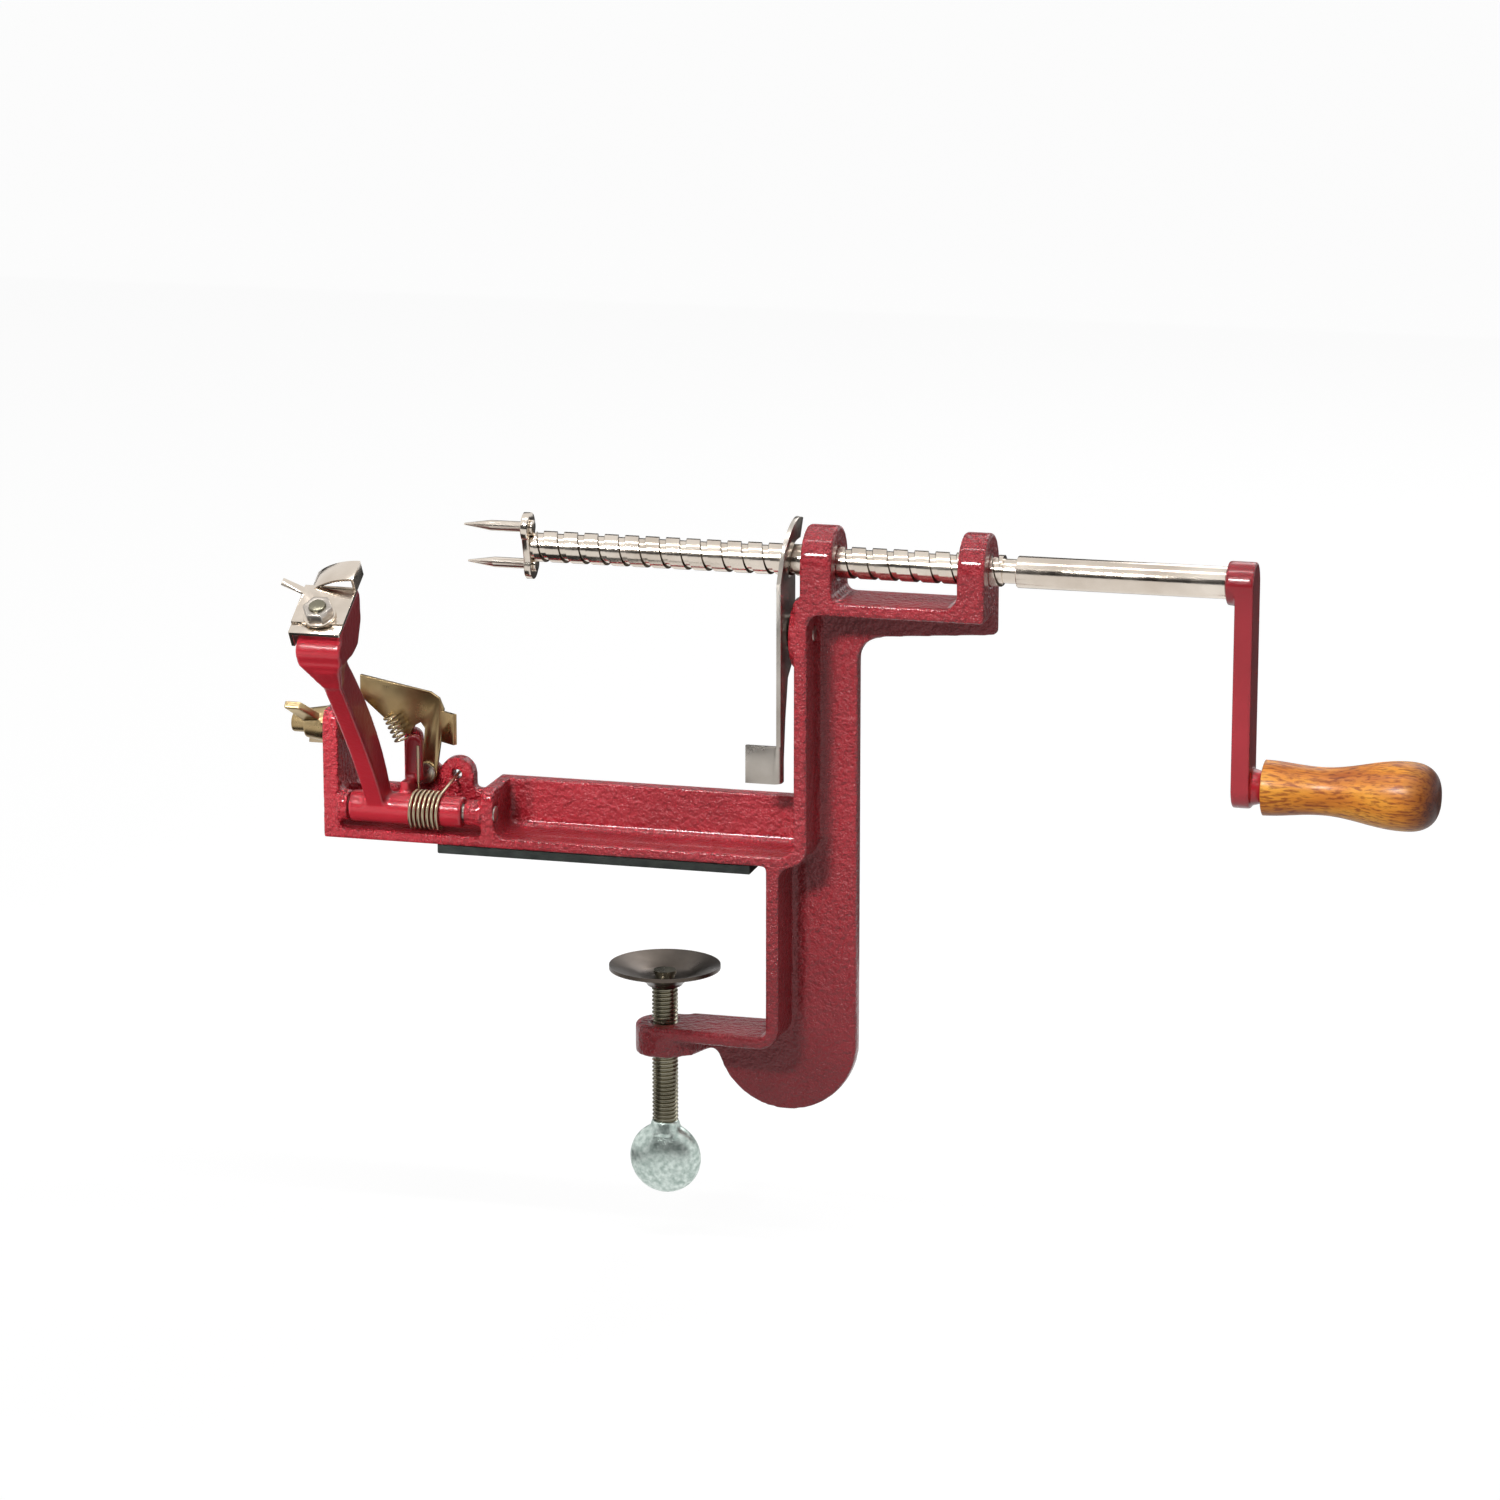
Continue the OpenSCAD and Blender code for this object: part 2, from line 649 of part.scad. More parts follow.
// Hoop-shaped peeling blade with its foot under the nut and a guide ear on the left
module peel_blade() {
    ear_len = 7.8;
    ear_rise = 30;
    foot_front = stud_y - stud_d / 2 - 0.2;
    foot_back = hoop_y + 1.5;
    color(steel) at_head() difference() {
        union() {
            translate([-holder_w / 2, foot_front, holder_t])
                cube([holder_w / 2 + hoop_x, foot_back - foot_front, blade_t]);
            along_y(hoop_y, hoop_y + hoop_w) {
                intersection() {
                    difference() {
                        translate([hoop_x, hoop_z]) circle(hoop_r);
                        translate([hoop_x, hoop_z]) circle(hoop_r - blade_t);
                    }
                    box2(hoop_x - hoop_r, holder_t, hoop_x, hoop_z + hoop_r);
                }
                box2(hoop_x - blade_t, holder_t, hoop_x, hoop_z + hoop_r - lap);
            }
            along_y(hoop_y - 2.4, hoop_y)
                translate([-holder_w / 2 + blade_t, holder_t]) rotate(180 - ear_rise) box2(-lap, -blade_t, ear_len, 0);
        }
        translate([stud_x, stud_y, holder_t - lap]) cylinder(r = stud_d / 2, h = blade_t + 2 * lap);
    }
}

// Stud that clamps the blade, screwed into the arm's head
stack_z = holder_t + blade_t;
stack_washer_t = 1;
nut_h = 3.2;
nut_r = 4.62;
stud_top = stack_z + stack_washer_t + nut_h + 0.6;
module blade_stud() {
    color(gold) at_head() translate([stud_x, stud_y, -stud_depth]) cylinder(r = stud_d / 2, h = stud_depth + stud_top);
}

// Washer and hexagon nut on the stud
module blade_washer() {
    color(steel) at_head() translate([stud_x, stud_y, stack_z]) difference() {
        cylinder(r = nut_r + 0.3, h = stack_washer_t);
        translate([0, 0, -lap]) cylinder(r = stud_d / 2, h = stack_washer_t + 2 * lap);
    }
}

module blade_nut() {
    color(steel) at_head() translate([stud_x, stud_y, stack_z + stack_washer_t]) difference() {
        cylinder(r = nut_r, h = nut_h, $fn = 6);
        translate([0, 0, -lap]) cylinder(r = stud_d / 2, h = nut_h + 2 * lap);
    }
}

// Torsion spring on the hub: one leg in the anchor ring, the other up the front of the horn
arm_steps = 12;
arm_rows = ceil((spring_to - spring_from) / 360 * arm_steps);
function arm_coil(i) =
    let (a = spring_from + (spring_to - spring_from) * i / arm_rows)
    [
        spring_right + (spring_left - spring_right) * i / arm_rows,
        arm_y + arm_coil_r * cos(a),
        arm_z + arm_coil_r * sin(a)
    ];
ring_leg = (back_y - 1 - arm_y) / cos(spring_lift);
horn_leg = horn_h - 3;
arm_path = concat(
    [for (s = [1, 0.5]) arm_coil(0) + s * ring_leg * [0, cos(spring_lift), sin(spring_lift)]],
    [for (i = [0 : arm_rows]) arm_coil(i)],
    [for (s = [0.5, 1]) arm_coil(arm_rows) + s * horn_leg * [0, 0, 1]]
);
module arm_spring() {
    echo("arm spring least gap", wire_gap(arm_path, arm_wire / 2, arm_steps / 2));
    color(gold) wire(arm_path, [1, 0, 0], arm_wire / 2);
}

// Sprung sheet latch that holds the arm back, with a thumb tab bent forward
module latch_plate() {
    tab_turn = 35;
    color(gold) difference() {
        union() {
            along_y(latch_y, latch_y + latch_t) translate([latch_x, latch_z]) {
                circle(latch_end_r);
                polygon([
                    [-21, 29.6], [1.6, 25.4], [4.4, 23.6], [5.8, 20.2], [4.8, 11], [3.2, 0], [-3.2, 0.6],
                    [-0.8, 9], [-0.3, 14], [-1.6, 15.8], [-3.6, 14.6], [-5.2, 11.7], [-8.5, 12.3], [-21, 23]
                ]);
            }
            translate([latch_x + 5, latch_y, latch_z + 10]) rotate([0, 0, -tab_turn])
                cube([6, latch_t, 9.6]);
        }
        bar_y(latch_y - lap, latch_y + latch_t + lap, latch_x, latch_z, latch_rivet_r + run);
    }
}

// Small coil spring from the latch plate to its post
latch_side = cross(latch_axis, [0, 1, 0]);
latch_rows = ceil((latch_turns + 0.5) * arm_steps);
function latch_coil(i) =
    let (a = 270 - 360 * (latch_turns + 0.5) * i / latch_rows)
    latch_coil_at + latch_axis * latch_coil_len * i / latch_rows
        + latch_coil_r * (cos(a) * [0, 1, 0] + sin(a) * latch_side);
latch_path = concat(
    [for (s = [1, 0.5]) latch_coil(0) + s * [0, latch_y - seat - latch_coil_y, 0]],
    [for (i = [0 : latch_rows]) latch_coil(i)],
    [for (s = [0.5, 1]) latch_coil(latch_rows) + s * [0, lug_y - seat - latch_coil_y, 0]]
);
module latch_spring() {
    echo("latch spring least gap", wire_gap(latch_path, latch_wire / 2, arm_steps / 2));
    color(steel) wire(latch_path, latch_axis, latch_wire / 2);
}

// Sheet lever whose tooth rides in the rod's thread; pressing its thumb tab frees the rod
module release_lever() {
    tab_z = lever_pivot_h - lever_len;
    low_back = lever_front + 4.2;
    color(steel) difference() {
        union() {
            difference() {
                along_x(lever_left, lever_right) polygon([
                    [lever_front, lever_bend_z], [lever_back, lever_bend_z], [lever_back, lever_pivot_h - lever_neck],
                    [low_back + 4.7, lever_pivot_h - lever_len * 0.3], [low_back + 1.7, lever_pivot_h - lever_len * 0.57],
                    [low_back, tab_z + tab_h * 0.6], [low_back, tab_z], [lever_front, tab_z]
                ]);
                translate([lever_left - lap, lever_front - lap, tab_z - lap])
                    cube([lever_t + 2 * lap, fold_r + lap, tab_h + lap]);
            }
            translate([0, 0, tab_z]) linear_extrude(tab_h) lever_tab();
            translate([lever_left, 0, lever_bend_z]) rotate([0, lever_lean, 0])
                translate([-lever_left, 0, -lever_bend_z]) lever_top();
            translate([tooth_x, -root_r - gap, rod_height]) rotate([0, -helix, 0])
                translate([-tooth_w / 2, -notch_r + root_r, -1]) cube([tooth_w, notch_r - root_r, 2]);
        }
        bar_x(lever_left - lap, lever_right + lap, 0, lever_pivot_h, lever_rivet_r + run);
    }
}

// Plan of the thumb tab: a flat sheet and the round fold that joins it to the lever
module lever_tab() {
    fold_x = lever_right - fold_r;
    fold_y = lever_front + fold_r;
    box2(lever_left - tab_len, lever_front, fold_x + lap, lever_front + lever_t);
    intersection() {
        difference() {
            translate([fold_x, fold_y]) circle(fold_r);
            translate([fold_x, fold_y]) circle(fold_r - lever_t);
        }
        box2(fold_x, lever_front, lever_right, fold_y);
    }
    box2(lever_left, fold_y - lap, lever_right, fold_y + lap);
}

// Hooked top of the lever, before it is bent towards the column
module lever_top() {
    along_x(lever_left, lever_right) difference() {
        intersection() {
            translate([0, rod_height]) circle(lever_top_r);
            box2(lever_front, lever_bend_z - lap, lever_back, rod_height + lever_top_r);
        }
        translate([notch_r - rod_d / 2 - gap, rod_height]) circle(notch_r);
        box2(notch_r - rod_d / 2 - gap, rod_height - notch_r, lever_back + lap, rod_height + notch_r);
    }
}

// Smooth sleeve over the plain end of the rod
module shank_sleeve() {
    color(chrome) difference() {
        bar_x(sleeve_x, sleeve_end, 0, rod_height, rod_d / 2);
        bar_x(sleeve_x - lap, sleeve_end + lap, 0, rod_height, core_d / 2 + run);
    }
}

// Thread of the rod: straight columns of points, each shifted along the helix
thread_cols = 20;
groove_wall = 0.35;
groove_room = groove_w / 2 + 0.6;
first_groove = thread_start + groove_room;
groove_phase = (tooth_x - thread_pitch / 2 - first_groove) / thread_pitch;
groove_x = first_groove + (groove_phase - floor(groove_phase)) * thread_pitch;
thread_turns = floor((thread_end - groove_room - groove_x) / thread_pitch);
thread_rows = 4 * thread_turns + 2;
function groove_at(j, n) = groove_x + thread_pitch * (n + j / thread_cols);
function column_rows(j) = concat(
    [[thread_start, rod_d / 2]],
    [
        for (n = [0 : thread_turns - 1])
        let (g = groove_at(j, n), h = groove_w / 2)
        each [[g - h, rod_d / 2], [g - h + groove_wall, root_r], [g + h - groove_wall, root_r], [g + h, rod_d / 2]]
    ],
    [[thread_end, rod_d / 2]]
);
function at(j, i) = j * thread_rows + i;

module rod_thread() {
    points = [
        for (j = [0 : thread_cols - 1], p = column_rows(j))
        let (a = 360 * j / thread_cols)
        [p[0], p[1] * cos(a), rod_height + p[1] * sin(a)]
    ];
    walls = [
        for (j = [0 : thread_cols - 2], i = [0 : thread_rows - 2])
        each [[at(j, i), at(j, i + 1), at(j + 1, i + 1)], [at(j, i), at(j + 1, i + 1), at(j + 1, i)]]
    ];
    // The last column meets the first one a full turn further on
    last = thread_cols - 1;
    shared = 4 * (thread_turns - 1);
    seam_start = concat(
        [for (k = [0 : 4]) [at(last, 0), at(0, k + 1), at(0, k)]],
        [[at(last, 0), at(last, 1), at(0, 5)]]
    );
    seam = [
        for (i = [1 : shared - 1])
        each [[at(last, i), at(last, i + 1), at(0, i + 5)], [at(last, i), at(0, i + 5), at(0, i + 4)]]
    ];
    seam_end = concat(
        [[at(last, shared), at(0, thread_rows - 1), at(0, thread_rows - 2)]],
        [for (k = [shared : thread_rows - 2]) [at(last, k), at(last, k + 1), at(0, thread_rows - 1)]]
    );
    caps = [
        [for (j = [0 : last]) at(j, 0)],
        [for (j = [last : -1 : 0]) at(j, thread_rows - 1)]
    ];
    polyhedron(points, concat(walls, seam_start, seam, seam_end, caps));
}

// Feed rod: coarse thread, thin neck, and the plain end inside sleeve and crank
module feed_rod() {
    color(chrome) {
        rod_thread();
        bar_x(fork_left, thread_start + 2, 0, rod_height, core_d / 2);
        bar_x(thread_end - 2, thread_end + neck_len, 0, rod_height, neck_d / 2);
        bar_x(thread_end, crank_end, 0, rod_height, core_d / 2);
    }
}

// Collar between the thread and the fork plate
module rod_collar() {
    color(chrome) difference() {
        bar_x(fork_right, thread_start, 0, rod_height, rod_d / 2 - 1);
        bar_x(fork_right - lap, thread_start + lap, 0, rod_height, core_d / 2);
    }
}

// Two-lobed plate on the rod's end
module fork_plate() {
    color(chrome) translate([0, 0, rod_height]) rotate([fork_turn, 0, 0]) difference() {
        along_x(fork_left, fork_right) {
            box2(-fork_w / 2 + 0.8, -lobe_z, fork_w / 2 - 0.8, lobe_z);
            for (side = [-1, 1]) translate([0, side * lobe_z]) circle(fork_w / 2);
        }
        bar_x(fork_left - lap, fork_right + lap, 0, 0, core_d / 2);
        for (side = [-1, 1])
            bar_x(fork_left - lap, fork_right + lap, 0, side * lobe_z, prong_d / 2);
    }
}

// Two pointed prongs riveted into the plate, with round rivet heads behind it
module fork_prongs() {
    point_len = prong_len * 0.45;
    color(chrome) translate([fork_right, 0, rod_height]) rotate([fork_turn, 0, 0])
        for (side = [-1, 1]) translate([0, 0, side * lobe_z]) rotate([0, -90, 0]) {
        translate([0, 0, -0.9]) cylinder(r = prong_d / 2 + 0.6, h = 0.9);
        translate([0, 0, -lap]) cylinder(r = prong_d / 2, h = fork_t + prong_len - point_len + lap);
        translate([0, 0, fork_t + prong_len - point_len]) cylinder(r1 = prong_d / 2, r2 = 0.3, h = point_len);
    }
}

// Enamelled crank arm with a boss for the rod and one for the grip
module crank_arm() {
    half = crank_w / 2;
    color(red) difference() {
        union() {
            bar_x(crank_x, crank_arm_x + lap, 0, rod_height, half);
            along_x(crank_arm_x, crank_end) {
                translate([0, rod_height]) circle(half);
                box2(-half, grip_z, half, rod_height);
                translate([0, grip_z]) circle(half);
            }
            bar_x(crank_end - lap, crank_end + grip_boss, 0, grip_z, grip_boss_r);
        }
        bar_x(crank_x - lap, crank_end + lap, 0, rod_height, core_d / 2);
        bar_x(crank_arm_x - lap, crank_end + grip_boss + lap, 0, grip_z, pin_d / 2);
    }
}

// Pin riveted into the crank arm, on which the grip turns
pin_depth = grip_len * 0.8;
module grip_pin() {
    color(steel) bar_x(crank_arm_x, grip_x + pin_depth, 0, grip_z, pin_d / 2);
}

// Turned wooden grip: a waist near the crank and a full round end
waist_at = grip_len * 0.33;
belly_at = grip_len * 0.8;
function ease(t) = (1 - cos(180 * t)) / 2;
function grip_r(s) =
    s < waist_at ? (grip_neck_d + (grip_waist_d - grip_neck_d) * ease(s / waist_at)) / 2
    : s < belly_at ? (grip_waist_d + (grip_d - grip_waist_d) * ease((s - waist_at) / (belly_at - waist_at))) / 2
    : grip_d / 2 * pow(1 - pow((s - belly_at) / (grip_len - belly_at), 2.6), 1 / 2.6);
module wood_grip() {
    steps = 30;
    color(oak) difference() {
        translate([grip_x, 0, grip_z]) rotate([0, 90, 0]) rotate_extrude() polygon(concat(
            [[0, 0]],
            [for (i = [0 : steps - 1]) let (s = grip_len * i / steps) [grip_r(s), s]],
            [for (a = [0.985, 1]) [grip_r(grip_len * a), grip_len * a]]
        ));
        bar_x(grip_x - lap, grip_x + pin_depth + gap, 0, grip_z, pin_d / 2 + run);
    }
}

// Dished disc that presses against the table from below
module clamp_disc() {
    wide = disc_r - disc_hub_r;
    color(gunmetal) translate([screw_x, 0, disc_neck_z]) difference() {
        rotate_extrude() polygon([
            [0, 0], [disc_hub_r, 0], [disc_hub_r + wide * 0.12, disc_depth * 0.3], [disc_hub_r + wide * 0.4, disc_depth * 0.58],
            [disc_r, disc_depth - disc_t], [disc_r, disc_depth],
            [disc_hub_r + wide * 0.4, disc_depth * 0.58 + disc_t], [disc_hub_r, disc_depth * 0.36 + disc_t],
            [0, disc_depth * 0.36]
        ]);
        translate([0, 0, -lap]) cylinder(r = tip_d / 2 + run, h = disc_depth);
    }
}

// Clamp screw with a riveted tip that turns in the disc
module clamp_screw() {
    tip_top = disc_neck_z + disc_depth * 0.36 + disc_t + seat;
    color(zinc) translate([screw_x, 0, 0]) {
        translate([0, 0, knob_top]) cylinder(r = screw_d / 2, h = disc_neck_z - seat - knob_top);
        translate([0, 0, disc_neck_z - 1]) cylinder(r = tip_d / 2, h = tip_top + 1 - disc_neck_z);
        translate([0, 0, tip_top]) cylinder(r1 = tip_d / 2 + 1, r2 = tip_d / 2 - 0.6, h = 1);
    }
}

// Flat round thumb knob with a full round rim, cast on the screw
module clamp_knob() {
    rim = knob_t / 2;
    color(zinc) translate([screw_x, 0, 0]) difference() {
        union() {
            translate([0, 0, knob_z]) rotate([90, 0, 0]) rotate_extrude() {
                box2(0, -rim, knob_r - rim, rim);
                translate([knob_r - rim, 0]) intersection() {
                    circle(rim);
                    box2(-lap, -rim, rim, rim);
                }
            }
            translate([0, 0, knob_z + knob_r / 2]) cylinder(r = screw_d / 2 + 1, h = knob_top - knob_z - knob_r / 2);
        }
        translate([0, 0, knob_top]) cylinder(r = screw_d, h = 1);
    }
}

// Washer under the wing nut
module wing_washer() {
    color(steel) difference() {
        bar_x(end_x - seat - wing_washer_t, end_x - seat, 0, bolt_h, bolt_d);
        bar_x(end_x - wing_washer_t - 1, end_x, 0, bolt_h, bolt_d / 2 + run);
    }
}

// Wing nut: round hub with two flat wings that flare away from the plate
module wing_nut() {
    hub = bolt_d * 0.85;
    wing_t = 2.4;
    color(gold) translate([wing_x, 0, bolt_h]) difference() {
        union() {
            rotate([0, -90, 0]) cylinder(r1 = hub + 0.6, r2 = hub - 0.6, h = wing_hub_t);
            for (turn = [wing_angle, wing_angle + 180]) rotate([turn, 0, 0])
                along_y_centre(wing_t) polygon([
                    [-1, bolt_d / 2 + 0.6], [-1.5, hub], [-5.5, wing_reach], [-10.5, wing_reach], [-wing_hub_t, bolt_d / 2 + 0.6]
                ]);
        }
        translate([1, 0, 0]) rotate([0, -90, 0]) cylinder(r = bolt_d / 2 + run, h = wing_hub_t + 8);
    }
}

// Extrudes an outline of the X-Y plane to a sheet centred on that plane
module along_y_centre(t) {
    translate([0, 0, -t / 2]) linear_extrude(t) children();
}

frame_casting();
table_pad();
arm_shaft();
lever_rivet();
lever_washer();
latch_rivet();
slicer_bolt();
peel_arm();
blade_holder();
peel_blade();
blade_stud();
blade_washer();
blade_nut();
arm_spring();
latch_plate();
latch_spring();
release_lever();
shank_sleeve();
feed_rod();
rod_collar();
fork_plate();
fork_prongs();
crank_arm();
grip_pin();
wood_grip();
clamp_disc();
clamp_screw();
clamp_knob();
wing_washer();
wing_nut();
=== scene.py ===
# %% [markdown]
# A hand-cranked peeler that clamps to a table edge, dressed over its CAD frame. The frame gives
# every piece its size and place. It could be rendered as it is, but its edges are sharp and its
# screws are plain cylinders. So this script adds rounded castings, real screw threads, wound
# springs and finishes made of nodes.

import math

import bmesh
import bpy
from mathutils import Matrix, Vector


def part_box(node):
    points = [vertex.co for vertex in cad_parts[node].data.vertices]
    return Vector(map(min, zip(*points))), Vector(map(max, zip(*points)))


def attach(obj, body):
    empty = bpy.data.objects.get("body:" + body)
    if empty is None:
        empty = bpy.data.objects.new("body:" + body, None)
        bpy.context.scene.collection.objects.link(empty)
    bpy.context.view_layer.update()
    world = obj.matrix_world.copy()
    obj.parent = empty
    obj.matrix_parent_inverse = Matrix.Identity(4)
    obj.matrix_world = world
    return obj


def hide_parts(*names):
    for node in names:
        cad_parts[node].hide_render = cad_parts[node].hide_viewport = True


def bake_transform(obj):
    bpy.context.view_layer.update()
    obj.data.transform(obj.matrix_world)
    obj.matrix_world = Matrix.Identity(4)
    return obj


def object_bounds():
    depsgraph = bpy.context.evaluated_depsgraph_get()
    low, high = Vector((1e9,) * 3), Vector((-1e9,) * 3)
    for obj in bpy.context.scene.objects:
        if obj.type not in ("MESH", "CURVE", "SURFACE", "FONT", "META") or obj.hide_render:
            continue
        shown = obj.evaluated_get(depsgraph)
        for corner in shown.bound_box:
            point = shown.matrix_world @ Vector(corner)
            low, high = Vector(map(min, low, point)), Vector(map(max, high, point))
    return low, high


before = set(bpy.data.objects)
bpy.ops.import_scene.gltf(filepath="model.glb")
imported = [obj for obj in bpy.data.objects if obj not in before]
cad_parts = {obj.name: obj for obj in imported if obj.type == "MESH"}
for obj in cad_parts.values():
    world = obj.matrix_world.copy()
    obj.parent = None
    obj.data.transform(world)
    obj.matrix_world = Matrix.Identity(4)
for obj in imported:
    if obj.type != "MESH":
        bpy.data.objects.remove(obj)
cad_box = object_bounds()
MM = 0.001

# %% [markdown]
# A finish is what light meets on a piece: enamel, plating, varnish or rubber. It could come from
# painted pictures, but pictures blur when they come close. Nodes stay sharp at any distance, so
# every finish starts from one Principled shader. Constant values are typed straight into its
# sockets, and only what varies over the surface comes from texture nodes.


# %% Helpers for finishes
def finish_base(name, **sockets):
    material = bpy.data.materials.new(name)
    material.use_nodes = True
    shader = material.node_tree.nodes["Principled BSDF"]
    for socket, value in sockets.items():
        shader.inputs[socket.replace("_", " ")].default_value = value
    return material, material.node_tree, shader


def noise(tree, scale, detail=3.0, stretch=(1, 1, 1)):
    place = tree.nodes.new("ShaderNodeTexCoord")
    mapping = tree.nodes.new("ShaderNodeMapping")
    mapping.inputs["Scale"].default_value = stretch
    texture = tree.nodes.new("ShaderNodeTexNoise")
    texture.inputs["Scale"].default_value = scale
    texture.inputs["Detail"].default_value = detail
    tree.links.new(place.outputs["Object"], mapping.inputs["Vector"])
    tree.links.new(mapping.outputs["Vector"], texture.inputs["Vector"])
    return texture.outputs["Fac"]


def ramp(tree, value, *stops):
    """Colours a value by its stops, each one a position and a colour."""
    node = tree.nodes.new("ShaderNodeValToRGB")
    band = node.color_ramp
    while len(band.elements) < len(stops):
        band.elements.new(0.5)
    for element, (position, colour) in zip(band.elements, stops):
        element.position = position
        element.color = (*colour, 1)
    tree.links.new(value, node.inputs["Fac"])
    return node.outputs["Color"]


def grey(level):
    return (level, level, level)


def bump(tree, shader, value, strength, depth):
    node = tree.nodes.new("ShaderNodeBump")
    node.inputs["Strength"].default_value = strength
    node.inputs["Distance"].default_value = depth
    tree.links.new(value, node.inputs["Height"])
    tree.links.new(node.outputs["Normal"], shader.inputs["Normal"])


def drive(tree, shader, socket, colour):
    tree.links.new(colour, shader.inputs[socket])


# %% [markdown]
# The castings wear thick red enamel over rough iron. The colour pools a little darker in places,
# and the skin has fine lumps, strong on the rough frame and faint on the smoother arm and crank.
# The lumps could be modelled, but that takes millions of faces, so a bump of two noises stands in
# for them. A clear coat gives the hard pink glints along the edges.


# %% Red enamel
def added(tree, first, second, share):
    """First value plus a share of the second one."""
    node = tree.nodes.new("ShaderNodeMath")
    node.operation = "MULTIPLY_ADD"
    node.inputs[1].default_value = share
    tree.links.new(second, node.inputs[0])
    tree.links.new(first, node.inputs[2])
    return node.outputs[0]


def red_enamel(name, lumps):
    material, tree, shader = finish_base(
        name, Roughness=0.28, Specular_IOR_Level=0.3, Coat_Weight=0.4, Coat_Roughness=0.08
    )
    pooled = noise(tree, scale=38, detail=4)
    drive(tree, shader, "Base Color", ramp(
        tree, pooled, (0.3, (0.300, 0.012, 0.020)), (0.7, (0.400, 0.020, 0.032))
    ))
    coarse, fine = noise(tree, scale=560, detail=2), noise(tree, scale=1300, detail=2)
    bump(tree, shader, added(tree, coarse, fine, share=0.4), lumps, depth=0.0014)
    return material


ENAMEL = red_enamel("red_enamel", lumps=1.15)
SMOOTH_ENAMEL = red_enamel("smooth_red_enamel", lumps=0.1)
print("enamels:", ENAMEL.name, "and", SMOOTH_ENAMEL.name)

# %% [markdown]
# The small parts are plated, zinc-coated or bare steel, some of it handled for years. Each metal
# could have nodes of its own, but metals differ mostly by colour and by how they scatter light.
# So one function makes all of them: two tints mixed by slow noise, a roughness that wanders with
# it, and a faint bump of scratches.


# %% Metals
ROUGHNESS_WANDER = 0.12


def metal(name, dark, light, roughness, spots=45, scratch=0.06):
    material, tree, shader = finish_base(name, Metallic=1.0)
    tint = ramp(tree, noise(tree, spots, detail=5), (0.32, dark), (0.68, light))
    drive(tree, shader, "Base Color", tint)
    smooth, dull = grey(roughness), grey(roughness + ROUGHNESS_WANDER)
    wear = ramp(tree, noise(tree, spots * 3, detail=4), (0.3, smooth), (0.7, dull))
    drive(tree, shader, "Roughness", wear)
    bump(tree, shader, noise(tree, scale=1400, detail=2), scratch, depth=0.0002)
    return material


BRIGHT = metal("bright_plate", (0.58, 0.50, 0.42), (0.80, 0.72, 0.63), roughness=0.12)
SHEET = metal("steel_sheet", (0.36, 0.32, 0.28), (0.62, 0.58, 0.53), roughness=0.26)
GOLD = metal("gold_zinc", (0.30, 0.20, 0.09), (0.60, 0.46, 0.25), roughness=0.24)
WIRE = metal("spring_wire", (0.34, 0.27, 0.17), (0.58, 0.49, 0.34), roughness=0.26)
ZINC = metal(
    "dull_zinc", (0.36, 0.45, 0.41), (0.72, 0.81, 0.76), roughness=0.30, spots=650, scratch=0.25
)
SCREW = metal("dark_screw", (0.17, 0.155, 0.11), (0.40, 0.375, 0.29), roughness=0.22)
GUNMETAL = metal("gunmetal", (0.050, 0.040, 0.034), (0.14, 0.115, 0.095), roughness=0.26)
print("finishes so far:", len(bpy.data.materials))

# %% [markdown]
# The grip is varnished wood. A wave texture could draw its rings, but they come out too regular
# for a small turned piece. So noise is stretched hard along the grip instead: slow bands for the
# growth rings and thin dark dashes for the pores. Towards the round end the colour is darkened as
# painted shade.


# %% Varnished wood
WOOD_SPAN = tuple(corner.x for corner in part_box("wood_grip"))


def multiplied(tree, first, second, share):
    mix = tree.nodes.new("ShaderNodeMix")
    mix.data_type = "RGBA"
    mix.blend_type = "MULTIPLY"
    mix.inputs["Factor"].default_value = share
    tree.links.new(first, mix.inputs["A"])
    tree.links.new(second, mix.inputs["B"])
    return mix.outputs["Result"]


def share_along_grip(tree):
    place = tree.nodes.new("ShaderNodeTexCoord")
    axes = tree.nodes.new("ShaderNodeSeparateXYZ")
    along = tree.nodes.new("ShaderNodeMapRange")
    along.inputs["From Min"].default_value, along.inputs["From Max"].default_value = WOOD_SPAN
    tree.links.new(place.outputs["Object"], axes.inputs["Vector"])
    tree.links.new(axes.outputs["X"], along.inputs["Value"])
    return along.outputs["Result"]


def varnished_wood():
    material, tree, shader = finish_base(
        "varnished_wood", Roughness=0.5, Specular_IOR_Level=0.3, Coat_Weight=0.2, Coat_Roughness=0.2
    )
    bands = ramp(
        tree, noise(tree, scale=170, stretch=(0.22, 1, 1)),
        (0.30, (0.36, 0.085, 0.006)), (0.50, (0.58, 0.195, 0.015)), (0.70, (0.76, 0.340, 0.035)),
    )
    pores = ramp(
        tree, noise(tree, scale=1500, stretch=(0.20, 1, 1)),
        (0.36, (0.34, 0.16, 0.08)), (0.54, grey(1)),
    )
    # Painted shade: the grip darkens over its last fifth, towards the round end.
    painted_end_shade = ramp(tree, share_along_grip(tree), (0.80, grey(1)), (0.97, (0.17, 0.08, 0.06)))
    grain = multiplied(tree, bands, pores, share=0.85)
    drive(tree, shader, "Base Color", multiplied(tree, grain, painted_end_shade, share=1.0))
    fibres = noise(tree, scale=900, detail=2, stretch=(0.07, 1, 1))
    bump(tree, shader, fibres, strength=0.12, depth=0.0003)
    return material


WOOD = varnished_wood()
print("wood from x =", [round(x, 4) for x in WOOD_SPAN])

# %% [markdown]
# The pad under the base is dark rubber that grips the table. One dark colour would look like a
# hole in the picture, so two dark greens are mixed by noise, with a dull surface and fine grit.


